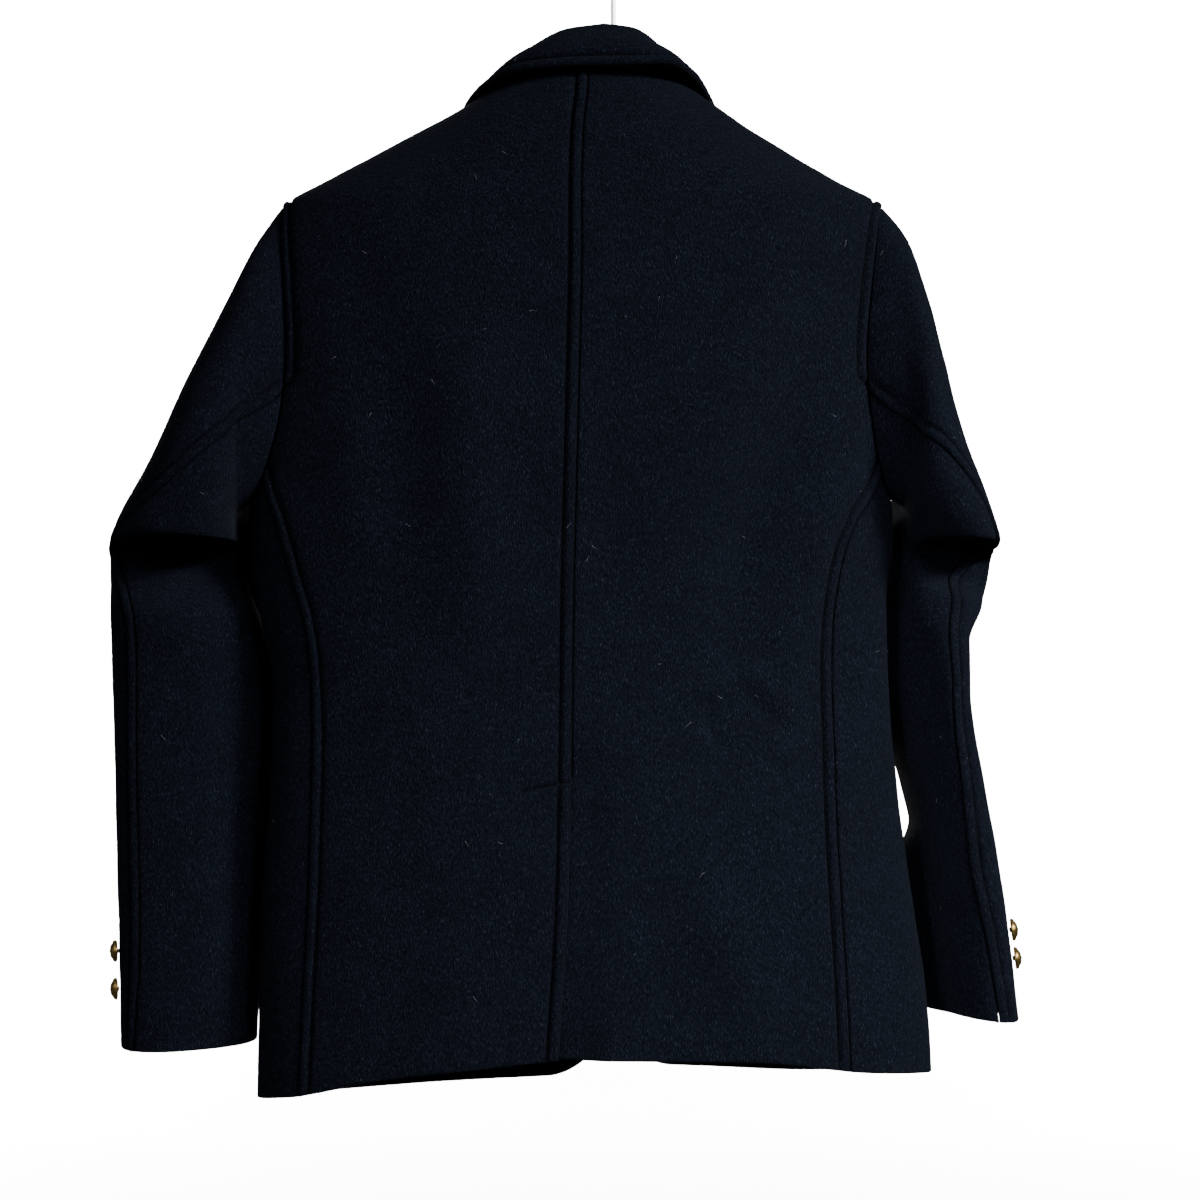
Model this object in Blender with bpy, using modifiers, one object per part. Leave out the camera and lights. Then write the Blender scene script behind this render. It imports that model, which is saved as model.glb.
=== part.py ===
"""A tailored blazer hanging on a plain hanger, in metres, +Z up.

The origin is the inner top of the hanger's hook. The front faces -Y and the
wearer's left is +X. The body is one tube of cloth, described by its level
sections, and each panel is the stretch of that tube between its seam lines.
The sleeves are tubes of rings that start on the armhole line. Every piece of
cloth is a wall of one thickness, drawn in a little from its seam lines.
"""

import math

import bmesh
import bpy
import numpy as np
from mathutils import Vector

NAME = "blazer_on_hanger"

# Driving sizes
CLOTH = 0.0022            # thick felted wool
SEAM = 0.0004             # every edge is drawn in this far from its seam line
LAPPED = 0.0036           # step between two fronts, or two sides of the vent
LAID_ON = 0.0029          # outer face of a flap or lapel above the panel below
VENT_TOP = 0.585          # all drops are measured down from the hook
VENT_LAP = 8.2            # degrees that the vent's hidden side runs past the seam
ARMHOLE = {1: (0.1825, 0.3920), -1: (0.1825, 0.3885)}     # top and bottom drop
ARMHOLE_REACH = 27.0      # degrees either side of the side line, at its widest
ARMHOLE_ROUND = 0.6       # below 1 the armhole is fuller than an ellipse
SLEEVE_STEP = 0.0006      # the sleeve starts this far outside the armhole
SLEEVE_POWER = 2.2        # 2 is an ellipse, more is squarer
COLLAR_FOLD = 0.0038      # radius of the collar's fold
BUTTON_LIFT = 0.0003      # clear of the cloth, on its thread
WOOD = 0.0085             # radius of the hanger's bar
WIRE = 0.00175            # radius of the hook's wire
HOOK_RADIUS = 0.0165      # of its wire's middle line
BAR_REACH = 0.188         # from the centre to each end of the hanger's bar
BAR_LEVEL = 0.080         # the bar is level as far out as this

# The body's level sections. left and right are its side lines, back_x and
# front_x its centre lines, back_y and front_y its depth there.
# drop, left, right, back_x, front_x, back_y, front_y, power
BODY = np.array([
    (0.0600, 0.0360, -0.0360, 0.0000, 0.0000, 0.030, -0.020, 2.00),
    (0.0763, 0.0469, -0.0469, 0.0005, 0.0010, 0.036, -0.026, 2.00),
    (0.0905, 0.0603, -0.0611, 0.0010, 0.0010, 0.041, -0.032, 2.00),
    (0.1100, 0.0888, -0.0895, 0.0020, 0.0020, 0.048, -0.040, 2.05),
    (0.1267, 0.1179, -0.1136, 0.0040, 0.0030, 0.053, -0.046, 2.10),
    (0.1450, 0.1510, -0.1420, 0.0050, 0.0040, 0.057, -0.052, 2.15),
    (0.1622, 0.1850, -0.1725, 0.0055, 0.0040, 0.060, -0.057, 2.20),
    (0.1825, 0.2180, -0.2073, 0.0057, 0.0050, 0.063, -0.061, 2.25),
    (0.2147, 0.2265, -0.2105, 0.0055, 0.0050, 0.067, -0.067, 2.35),
    (0.2500, 0.2280, -0.2095, 0.0060, 0.0050, 0.069, -0.071, 2.40),
    (0.2900, 0.2286, -0.2080, 0.0070, 0.0050, 0.070, -0.074, 2.40),
    (0.3300, 0.2310, -0.2095, 0.0080, 0.0050, 0.070, -0.075, 2.40),
    (0.3700, 0.2365, -0.2120, 0.0090, 0.0040, 0.068, -0.075, 2.35),
    (0.4100, 0.2425, -0.2150, 0.0100, 0.0030, 0.065, -0.074, 2.30),
    (0.4600, 0.2364, -0.2102, 0.0112, 0.0020, 0.062, -0.071, 2.25),
    (0.5300, 0.2237, -0.2123, 0.0120, 0.0000, 0.061, -0.069, 2.20),
    (0.6000, 0.2272, -0.2187, 0.0130, -0.0040, 0.063, -0.071, 2.20),
    (0.6700, 0.2322, -0.2286, 0.0150, -0.0090, 0.066, -0.074, 2.20),
    (0.7400, 0.2350, -0.2386, 0.0190, -0.0150, 0.069, -0.077, 2.20),
    (0.8300, 0.2364, -0.2445, 0.0255, -0.0215, 0.072, -0.080, 2.20),
])

# Where the seam between back and side panel runs: drop, left x, right x
SIDE_BACK = np.array([
    (0.400, 0.2215, -0.1875),
    (0.424, 0.2144, -0.1770),
    (0.449, 0.2074, -0.1720),
    (0.474, 0.1998, -0.1693),
    (0.508, 0.1950, -0.1685),
    (0.557, 0.1936, -0.1700),
    (0.600, 0.1943, -0.1710),
    (0.667, 0.1963, -0.1746),
    (0.723, 0.1990, -0.1780),
    (0.830, 0.2030, -0.1830),
])
SIDE_FRONT = 113.0        # degrees round from the back, below the armhole

# The hem's drop round the body: degrees from the centre back, left, right
HEM = np.array([
    (0.0, 0.7750, 0.7750),
    (30.0, 0.7895, 0.7775),
    (55.0, 0.8048, 0.7882),
    (90.0, 0.8125, 0.7948),
    (125.0, 0.8165, 0.8010),
    (150.0, 0.8150, 0.8055),
    (180.0, 0.8110, 0.8030),
])

# The neck seam's drop: degrees from the centre back, drop
NECK = np.array([
    (0.0, 0.0825),
    (45.0, 0.0884),
    (90.0, 0.0990),
    (118.0, 0.1050),
    (132.0, 0.1130),
    (145.0, 0.1250),
    (153.5, 0.1370),
])

# The front edges below the roll line: drop, left front x, right front x
FRONT_EDGE = np.array([
    (0.470, -0.0160, 0.0220),
    (0.530, -0.0170, 0.0200),
    (0.600, -0.0180, 0.0180),
    (0.680, -0.0170, 0.0060),
    (0.740, -0.0130, -0.0120),
    (0.830, -0.0050, -0.0360),
])
QUARTER = 0.045           # size of the rounded corner at each front's hem

# A sleeve's rings from the armhole, row 0, to the cuff. outer and inner are
# the two ends seen from behind, back and front the depths either side of
# mid_y, lift raises the ring at the back, turn is its twist in degrees, hind
# and fore are where its two seams run, in degrees from the outer end.
# row, outer_x, outer_drop, inner_x, inner_drop, mid_y, back, front, lift, turn, hind, fore
SLEEVE = {1: np.array([
    (0.0, 0.2180, 0.1828, 0.2425, 0.3925, 0.000, 0.036, 0.036, 0.000, 0, 103, 235),
    (1.0, 0.2329, 0.2026, 0.2475, 0.3955, 0.001, 0.046, 0.044, 0.000, 0, 103, 235),
    (2.0, 0.2563, 0.2467, 0.2495, 0.3990, 0.002, 0.054, 0.050, 0.000, 0, 96, 235),
    (3.0, 0.2840, 0.3035, 0.2500, 0.4030, 0.003, 0.058, 0.054, 0.000, 2, 78, 235),
    (4.0, 0.3117, 0.3603, 0.2502, 0.4070, 0.002, 0.060, 0.055, 0.000, 4, 59, 233),
    (5.0, 0.3351, 0.4043, 0.2502, 0.4130, 0.000, 0.059, 0.052, -0.004, 6, 20, 231),
    (5.25, 0.3385, 0.4130, 0.2500, 0.4170, -0.002, 0.055, 0.050, -0.010, 8, 20, 230),
    (5.45, 0.3400, 0.4185, 0.2498, 0.4200, -0.004, 0.043, 0.048, -0.011, 9, 22, 230),
    (5.65, 0.3412, 0.4230, 0.2494, 0.4235, -0.006, 0.028, 0.047, -0.002, 10, 25, 229),
    (5.85, 0.3420, 0.4270, 0.2488, 0.4275, -0.008, 0.020, 0.046, 0.002, 11, 27, 229),
    (6.1, 0.3424, 0.4330, 0.2478, 0.4335, -0.010, 0.021, 0.045, 0.000, 12, 31, 228),
    (6.5, 0.3426, 0.4480, 0.2448, 0.4480, -0.013, 0.031, 0.043, 0.000, 14, 37, 228),
    (7.0, 0.3431, 0.4740, 0.2355, 0.4740, -0.016, 0.036, 0.040, 0.000, 16, 42, 227),
    (8.0, 0.3422, 0.5165, 0.2253, 0.5165, -0.020, 0.034, 0.036, 0.000, 20, 43, 226),
    (9.0, 0.3407, 0.5733, 0.2268, 0.5733, -0.022, 0.033, 0.034, 0.000, 22, 43, 225),
    (10.0, 0.3397, 0.6443, 0.2310, 0.6443, -0.022, 0.033, 0.034, 0.000, 22, 41, 225),
    (11.0, 0.3375, 0.7046, 0.2348, 0.7046, -0.020, 0.034, 0.035, 0.000, 20, 38, 225),
    (12.0, 0.3362, 0.7790, 0.2384, 0.7760, -0.018, 0.035, 0.036, 0.000, 18, 35, 225),
]), -1: np.array([
    (0.0, -0.2073, 0.1828, -0.2152, 0.3890, 0.000, 0.036, 0.036, 0.000, 0, 103, 235),
    (1.0, -0.2222, 0.2005, -0.2205, 0.3925, 0.001, 0.046, 0.044, 0.000, 0, 104, 236),
    (2.0, -0.2386, 0.2467, -0.2226, 0.3960, 0.002, 0.055, 0.050, 0.000, 0, 97, 237),
    (3.0, -0.2492, 0.2893, -0.2232, 0.4000, 0.003, 0.060, 0.055, 0.000, -4, 85, 238),
    (4.0, -0.2613, 0.3461, -0.2236, 0.4045, 0.003, 0.063, 0.057, 0.000, -8, 45, 240),
    (5.0, -0.2769, 0.3958, -0.2240, 0.4100, 0.001, 0.062, 0.054, -0.004, -12, 20, 243),
    (5.25, -0.2820, 0.4110, -0.2242, 0.4130, -0.002, 0.058, 0.052, -0.010, -14, 30, 246),
    (5.45, -0.2850, 0.4210, -0.2244, 0.4160, -0.004, 0.046, 0.050, -0.011, -16, 45, 249),
    (5.65, -0.2875, 0.4300, -0.2245, 0.4200, -0.006, 0.031, 0.048, -0.001, -18, 62, 252),
    (5.85, -0.2885, 0.4380, -0.2246, 0.4250, -0.008, 0.023, 0.047, 0.001, -20, 79, 255),
    (6.1, -0.2875, 0.4490, -0.2246, 0.4330, -0.010, 0.024, 0.046, 0.000, -22, 95, 258),
    (6.5, -0.2790, 0.4650, -0.2220, 0.4500, -0.012, 0.034, 0.046, 0.000, -24, 108, 262),
    (7.0, -0.2610, 0.4870, -0.2190, 0.4800, -0.014, 0.046, 0.048, 0.000, -25, 110, 265),
    (8.0, -0.2585, 0.5236, -0.2185, 0.5236, -0.016, 0.052, 0.050, 0.000, -25, 112, 268),
    (9.0, -0.2670, 0.5804, -0.2270, 0.5804, -0.018, 0.052, 0.050, 0.000, -25, 118, 270),
    (10.0, -0.2798, 0.6443, -0.2398, 0.6443, -0.018, 0.050, 0.048, 0.000, -24, 125, 272),
    (11.0, -0.2880, 0.6900, -0.2470, 0.6900, -0.017, 0.048, 0.046, 0.000, -23, 120, 270),
    (12.0, -0.2975, 0.7560, -0.2535, 0.7540, -0.015, 0.046, 0.044, 0.000, -22, 106, 268),
])}
SLEEVE_STEPS = (0, 0.5, 1, 1.5, 2, 2.5, 3, 3.5, 4, 4.4, 4.8, 5.05, 5.2, 5.35, 5.5, 5.7,
                5.9, 6.15, 6.5, 7, 7.6, 8.3, 9, 10, 11, 11.5, 12)

# The collar from the centre back, 0, to its front end, 1: where it leaves the
# neck seam in degrees, the top of its fold, and the fall's outer edge. Every x is
# out from the centre on its own side.
# along, seam, fold_x, fold_y, fold_z, edge_x, edge_y, edge_z
COLLAR = {1: np.array([
    (0.00, 0, -0.0100, 0.0300, -0.0575, 0.0000, 0.0520, -0.0908),
    (0.20, 26, 0.0150, 0.0285, -0.0610, 0.0280, 0.0500, -0.0918),
    (0.40, 52, 0.0340, 0.0215, -0.0700, 0.0560, 0.0410, -0.0938),
    (0.60, 77, 0.0480, 0.0060, -0.0800, 0.0760, 0.0230, -0.1010),
    (0.75, 114, 0.0535, -0.0120, -0.0935, 0.0880, -0.0030, -0.1050),
    (0.88, 140, 0.0530, -0.0330, -0.1140, 0.0995, -0.0320, -0.1245),
    (1.00, 156, 0.0455, -0.0490, -0.1340, 0.1095, -0.0460, -0.1475),
]), -1: np.array([
    (0.00, 0, 0.0100, 0.0300, -0.0575, 0.0000, 0.0520, -0.0908),
    (0.20, 26, 0.0300, 0.0275, -0.0600, 0.0300, 0.0510, -0.0900),
    (0.40, 52, 0.0450, 0.0190, -0.0690, 0.0560, 0.0460, -0.0880),
    (0.60, 77, 0.0530, 0.0050, -0.0800, 0.0745, 0.0240, -0.0935),
    (0.75, 114, 0.0550, -0.0120, -0.0935, 0.0875, -0.0030, -0.1045),
    (0.88, 140, 0.0530, -0.0330, -0.1140, 0.0995, -0.0320, -0.1245),
    (1.00, 156, 0.0455, -0.0490, -0.1340, 0.1095, -0.0460, -0.1475),
])}

# How a lapel turns over at the roll line: distance beyond the line, height
# of its outer face above the front.
# beyond, height
ROLL = ((0.0031, -0.0016), (0.0045, 0.0016), (0.0026, 0.0056), (-0.0030, 0.0074))

FABRIC = (0.010, 0.014, 0.026)
GOLD = (0.72, 0.48, 0.16)
STEEL = (0.60, 0.60, 0.60)
BEECH = (0.52, 0.36, 0.20)


def slopes(xs, ys):
    """Slopes of a smooth curve through the points that never overshoots them."""
    rise = np.diff(ys) / np.diff(xs)
    slope = np.concatenate([rise[:1], np.zeros(len(xs) - 2), rise[-1:]])
    agree = rise[:-1] * rise[1:] > 0
    product = 2 * rise[:-1] * rise[1:]
    total = rise[:-1] + rise[1:]
    slope[1:-1][agree] = product[agree] / total[agree]
    return slope


def follow(table, column, at):
    """A table's column as a smooth curve over its first column."""
    xs, ys = table[:, 0], table[:, column]
    at = np.clip(np.asarray(at, dtype=float), xs[0], xs[-1])
    slope = slopes(xs, ys)
    low = np.clip(np.searchsorted(xs, at, side="right") - 1, 0, len(xs) - 2)
    width = xs[low + 1] - xs[low]
    t = (at - xs[low]) / width
    start = (1 + 2 * t) * (1 - t) ** 2 * ys[low] + t * (1 - t) ** 2 * width * slope[low]
    end = t * t * (3 - 2 * t) * ys[low + 1] - t * t * (1 - t) * width * slope[low + 1]
    return start + end


def ease(low, high, at):
    """0 below low, 1 above high, and a soft step between them."""
    t = np.clip((at - low) / (high - low), 0, 1)
    return t * t * (3 - 2 * t)


def rounded(angle, power):
    """Sine and cosine of an angle on a squared circle."""
    sine, cosine = np.sin(angle), np.cos(angle)
    radius = (np.abs(sine) ** power + np.abs(cosine) ** power) ** (-1 / power)
    return sine * radius, cosine * radius


def body(degrees, drop):
    """A point of the body's tube: round from the centre back, and down."""
    degrees, drop = np.broadcast_arrays(np.asarray(degrees, float), np.asarray(drop, float))
    left, right = follow(BODY, 1, drop), follow(BODY, 2, drop)
    across, deep = rounded(np.radians(degrees), follow(BODY, 7, drop))
    middle = (left + right) / 2
    behind = deep > 0
    centre = np.where(behind, follow(BODY, 3, drop), follow(BODY, 4, drop))
    depth = np.where(behind, follow(BODY, 5, drop), -follow(BODY, 6, drop))
    x = middle + (left - right) / 2 * across + (centre - middle) * deep ** 2
    return np.stack([x, depth * deep, -drop], axis=-1)


def unit(vectors):
    return vectors / np.linalg.norm(vectors, axis=-1, keepdims=True)


def body_normal(degrees, drop):
    """The body's outward direction, from its slopes either way."""
    turn, step = 0.4, 0.0008
    around = body(degrees + turn, drop) - body(degrees - turn, drop)
    up = body(degrees, drop - step) - body(degrees, drop + step)
    return unit(np.cross(up, around))


def on_body(degrees, drop, out=0.0):
    """A point held off the body by out, along its outward direction."""
    out = np.asarray(out, float)[..., None] if np.ndim(out) else out
    return body(degrees, drop) + out * body_normal(degrees, drop)


def degrees_at(side, x, drop, front):
    """The angle at which the body's section passes x, behind or in front."""
    left, right = follow(BODY, 1, drop), follow(BODY, 2, drop)
    power = follow(BODY, 7, drop)
    middle = (left + right) / 2
    centre = follow(BODY, 4 if front else 3, drop)
    deep = np.zeros_like(middle + x)
    for _ in range(12):
        across = np.clip((x - middle - (centre - middle) * deep ** 2) / ((left - right) / 2), -1, 1)
        deep = (1 - np.abs(across) ** power) ** (1 / power)
    angle = np.degrees(np.arctan2(across, -deep if front else deep))
    past = front & (angle * side < 0)
    return np.where(past, angle + 360 * side, angle)


def armhole(side, clock):
    """Angle and drop on the armhole line. The clock runs from the shoulder
    point, 0, down the back to the underarm, 180, and up the front."""
    top, bottom = ARMHOLE[side]
    turn = np.sin(np.radians(clock))
    reach = ARMHOLE_REACH * np.sign(turn) * np.abs(turn) ** ARMHOLE_ROUND
    drop = (top + bottom) / 2 - (bottom - top) / 2 * np.cos(np.radians(clock))
    return np.stack([side * (90 - reach), drop], axis=-1)


# The armhole's clock readings where panels and sleeves have their vertices
BACK_CLOCK = np.concatenate([np.linspace(146, 103, 4)[:-1], np.linspace(103, 0, 6)])
UNDER_CLOCK = np.linspace(146, 214, 5)
FRONT_CLOCK = np.concatenate([np.linspace(214, 235, 3)[:-1], np.linspace(235, 360, 7)])
LOW_ROWS, HIGH_ROWS = 10, 8
NECK_COLUMNS, SHOULDER_COLUMNS, NECK_ROWS = 6, 7, 5
SIDE_COLUMNS = len(UNDER_CLOCK) - 1


def spread(points, count):
    """Points at even lengths on the body along a line of angles and drops."""
    points = np.asarray(points, float)
    places = body(points[:, 0], points[:, 1])
    length = np.concatenate([[0], np.cumsum(np.linalg.norm(np.diff(places, axis=0), axis=1))])
    at = np.linspace(0, length[-1], count + 1)
    return np.stack([np.interp(at, length, points[:, 0]), np.interp(at, length, points[:, 1])], -1)


def join(*lines):
    """One line from several, each starting where the last one ended."""
    return np.concatenate([lines[0]] + [line[1:] for line in lines[1:]])


def patch(bottom, top, start, end):
    """A grid between four edges: bottom and top, and the rows' two ends."""
    columns, rows = len(bottom), len(start)
    u = np.linspace(0, 1, columns)[None, :, None]
    v = np.linspace(0, 1, rows)[:, None, None]
    along = (1 - v) * bottom[None] + v * top[None]
    across = (1 - u) * start[:, None] + u * end[:, None]
    corners = ((1 - u) * (1 - v) * bottom[0] + u * (1 - v) * bottom[-1]
               + (1 - u) * v * top[0] + u * v * top[-1])
    return along + across - corners


def flat(own, drop, front):
    """Width of the cloth laid flat, from a centre line to a place round the
    body. own is the angle from the centre back on the place's own side."""
    across, deep = rounded(np.radians(own), follow(BODY, 7, drop))
    half = (follow(BODY, 1, drop) - follow(BODY, 2, drop)) / 2
    depth = -follow(BODY, 6, drop) if front else follow(BODY, 5, drop)
    return half * across + depth * (1 - np.abs(deep))


def patch_flat(side, front, *edges):
    """The same grid between edges of angles and drops, worked out on the flat."""
    laid = [np.stack([flat(side * edge[:, 0], edge[:, 1], front), edge[:, 1]], -1) for edge in edges]
    grid = patch(*laid)
    near = np.full(grid.shape[:2], 200.0 if front else -20.0)
    far = np.full(grid.shape[:2], 90.0)
    for _ in range(34):
        own = (near + far) / 2
        short = flat(own, grid[..., 1], front) < grid[..., 0]
        near, far = np.where(short, own, near), np.where(short, far, own)
    return np.stack([side * near, grid[..., 1]], -1)


def draw_in(points):
    """Move a grid's edge points off their seam lines, square to the line."""
    moved = points.copy()
    for line, inner, place in ((points[0], points[1], np.s_[0, :]),
                               (points[-1], points[-2], np.s_[-1, :]),
                               (points[:, 0], points[:, 1], np.s_[:, 0]),
                               (points[:, -1], points[:, -2], np.s_[:, -1])):
        tangent = unit(np.gradient(line, axis=0))
        inward = inner - line
        inward = inward - (inward * tangent).sum(-1, keepdims=True) * tangent
        moved[place] += SEAM * unit(inward)
    return moved


def grid_normals(points):
    """The grid's own normals, from its neighbours in both directions."""
    return unit(np.cross(np.gradient(points, axis=1), np.gradient(points, axis=0)))


def wall(name, outer, normals, material):
    """A closed wall of cloth: a grid of outer points and the same moved in."""
    inner = outer - CLOTH * normals
    rows, columns = outer.shape[:2]
    facing = np.cross(np.gradient(outer, axis=1), np.gradient(outer, axis=0))
    flipped = (facing * normals).sum() < 0
    mesh = bmesh.new()
    grids = [[[mesh.verts.new(p) for p in row] for row in grid] for grid in (outer, inner)]

    def face(corners, turned):
        mesh.faces.new(corners[::-1] if turned != flipped else corners)

    for i in range(rows - 1):
        for j in range(columns - 1):
            ring = [(i, j), (i, j + 1), (i + 1, j + 1), (i + 1, j)]
            a, b, c, d = (outer[place] for place in ring)
            if np.linalg.norm(a - c) > np.linalg.norm(b - d):
                ring = ring[1:] + ring[:1]
            for grid, turned in zip(grids, (False, True)):
                corners = [grid[m][n] for m, n in ring]
                face(corners[:3], turned)
                face([corners[0], corners[2], corners[3]], turned)
    loop = ([(0, j) for j in range(columns)] + [(i, columns - 1) for i in range(1, rows)]
            + [(rows - 1, j) for j in range(columns - 2, -1, -1)]
            + [(i, 0) for i in range(rows - 2, 0, -1)])
    for (i, j), (k, m) in zip(loop, loop[1:] + loop[:1]):
        face([grids[0][i][j], grids[0][k][m], grids[1][k][m], grids[1][i][j]], True)
    data = bpy.data.meshes.new(name)
    mesh.to_mesh(data)
    mesh.free()
    data.shade_smooth()
    data.set_sharp_from_angle(angle=math.radians(50))
    return add(name, data, material)


def add(name, data, material):
    """An object of the garment, in the collection named for it."""
    if not data.materials:
        data.materials.append(material)
    made = bpy.data.objects.new(name, data)
    bpy.data.collections[NAME].objects.link(made)
    return made


def finish(name, colour, roughness, metallic):
    """A Principled material of one colour."""
    made = bpy.data.materials.new(name)
    made.use_nodes = True
    shader = made.node_tree.nodes["Principled BSDF"]
    shader.inputs["Base Color"].default_value = (*colour, 1)
    shader.inputs["Roughness"].default_value = roughness
    shader.inputs["Metallic"].default_value = metallic
    return made


def label(side):
    return "left" if side > 0 else "right"


def hem_drop(side, degrees):
    return follow(HEM, 1 if side > 0 else 2, np.abs(degrees))


def side_back_line(side):
    """The seam from the hem up to the armhole, as angles and drops."""
    foot = degrees_at(side, SIDE_BACK[-1, 1 if side > 0 else 2], 0.80, False)
    drops = np.linspace(hem_drop(side, foot), SIDE_BACK[0, 0], 40)
    xs = follow(SIDE_BACK, 1 if side > 0 else 2, drops)
    line = np.stack([degrees_at(side, xs, drops, False), drops], -1)
    return spread(np.concatenate([line, [armhole(side, UNDER_CLOCK[0])]]), LOW_ROWS)


def side_front_line(side):
    top = armhole(side, UNDER_CLOCK[-1])
    foot = (side * SIDE_FRONT, hem_drop(side, SIDE_FRONT))
    waist = (side * SIDE_FRONT, 0.46)
    return spread([foot, waist, top], LOW_ROWS)


def shoulder_line(side):
    """From the neck seam out along the shoulder's ridge."""
    return spread([(side * 90, NECK[2, 1]), (side * 90, ARMHOLE[side][0])], SHOULDER_COLUMNS)


def centre_back_line():
    """Rows of the centre back seam, with two at the top of the vent."""
    low = np.linspace(hem_drop(1, 0), VENT_TOP + 0.012, 6)
    high = np.linspace(VENT_TOP - 0.004, NECK[0, 1], LOW_ROWS + HIGH_ROWS - 5)
    drops = np.concatenate([low, high])
    return np.stack([np.zeros_like(drops), drops], -1)


def vent_step(degrees, drop):
    """How far the right back sinks to pass under the left one at the vent."""
    near = ease(-7.5, -2.2, degrees)
    return -LAPPED * near * ease(VENT_TOP - 0.04, VENT_TOP - 0.006, drop)


def back_panel(side, cloth):
    centre = centre_back_line()
    if side < 0:
        centre[:, 0] = np.where(centre[:, 1] > VENT_TOP, VENT_LAP, 0)
    outside = join(side_back_line(side), armhole(side, BACK_CLOCK))
    neck_degrees = side * np.linspace(0, 90, 31)
    neckline = np.stack([neck_degrees, follow(NECK, 1, np.abs(neck_degrees))], -1)
    top = join(spread(neckline, NECK_COLUMNS), shoulder_line(side))
    hem_degrees = np.linspace(centre[0, 0], outside[0, 0], 41)
    hem = spread(np.stack([hem_degrees, hem_drop(side, hem_degrees)], -1), len(top) - 1)
    grid = patch_flat(side, False, hem, top, centre, outside)
    out = vent_step(grid[..., 0], grid[..., 1]) if side < 0 else np.zeros(grid.shape[:2])
    points = draw_in(on_body(grid[..., 0], grid[..., 1], out))
    wall("back_" + label(side), points, body_normal(grid[..., 0], grid[..., 1]), cloth)


def side_panel(side, cloth):
    behind, before = side_back_line(side), side_front_line(side)
    hem_degrees = np.linspace(behind[0, 0], before[0, 0], 21)
    hem = spread(np.stack([hem_degrees, hem_drop(side, hem_degrees)], -1), SIDE_COLUMNS)
    grid = patch(hem, armhole(side, UNDER_CLOCK), behind, before)
    points = draw_in(on_body(grid[..., 0], grid[..., 1]))
    wall("side_" + label(side), points, body_normal(grid[..., 0], grid[..., 1]), cloth)


def roll_x(side, drop):
    """Where a front's roll line runs, from the neck seam to the break."""
    top = side * 0.0600
    foot = FRONT_EDGE[0, 1 if side > 0 else 2]
    return top + (foot - top) * (drop - NECK[-1, 1]) / (FRONT_EDGE[0, 0] - NECK[-1, 1])


def front_edge_x(side, drop):
    below = follow(FRONT_EDGE, 1 if side > 0 else 2, drop)
    return np.where(drop < FRONT_EDGE[0, 0], roll_x(side, drop), below)


def front_lap(side, x, drop):
    """The left front stands off the right one where it lies over it."""
    centre = follow(BODY, 4, drop)
    return LAPPED * (1 - ease(0.024, 0.052, x - centre)) if side > 0 else np.zeros_like(x)


def front_panel(side, cloth):
    outside = join(side_front_line(side), armhole(side, FRONT_CLOCK))
    corner = hem_drop(side, 175)
    turn = np.linspace(0, math.pi / 2, 9)
    edge_x = front_edge_x(side, corner - QUARTER)
    arc_x = edge_x + side * QUARTER * (1 - np.sin(turn))
    arc_drop = corner - QUARTER * (1 - np.cos(turn))
    arc = np.stack([degrees_at(side, arc_x, arc_drop, True), arc_drop], -1)
    hem_degrees = np.linspace(side * SIDE_FRONT, arc[0, 0], 31)
    blend = ease(0, 1, np.linspace(0, 1, 31)) * (arc[0, 1] - hem_drop(side, arc[0, 0]))
    hem_line = np.stack([hem_degrees, hem_drop(side, hem_degrees) + blend], -1)
    drops = np.linspace(arc_drop[-1], NECK[-1, 1], 60)
    xs = front_edge_x(side, drops)
    edge_line = np.stack([degrees_at(side, xs, drops, True), drops], -1)
    hem = spread(join(hem_line, arc[:5]), SHOULDER_COLUMNS)
    edge = spread(join(arc[4:], edge_line), LOW_ROWS + HIGH_ROWS - NECK_ROWS)
    neck_degrees = side * np.linspace(NECK[-1, 0], 90, 21)
    neck_line = np.stack([neck_degrees, follow(NECK, 1, np.abs(neck_degrees))], -1)
    neck_line[0] = edge[-1]
    edge = join(edge, spread(neck_line, NECK_ROWS))
    grid = patch_flat(side, True, hem, shoulder_line(side)[::-1], outside, edge)
    base = body(grid[..., 0], grid[..., 1])
    out = front_lap(side, base[..., 0], grid[..., 1])
    points = draw_in(on_body(grid[..., 0], grid[..., 1], out))
    wall("front_" + label(side), points, body_normal(grid[..., 0], grid[..., 1]), cloth)


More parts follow.
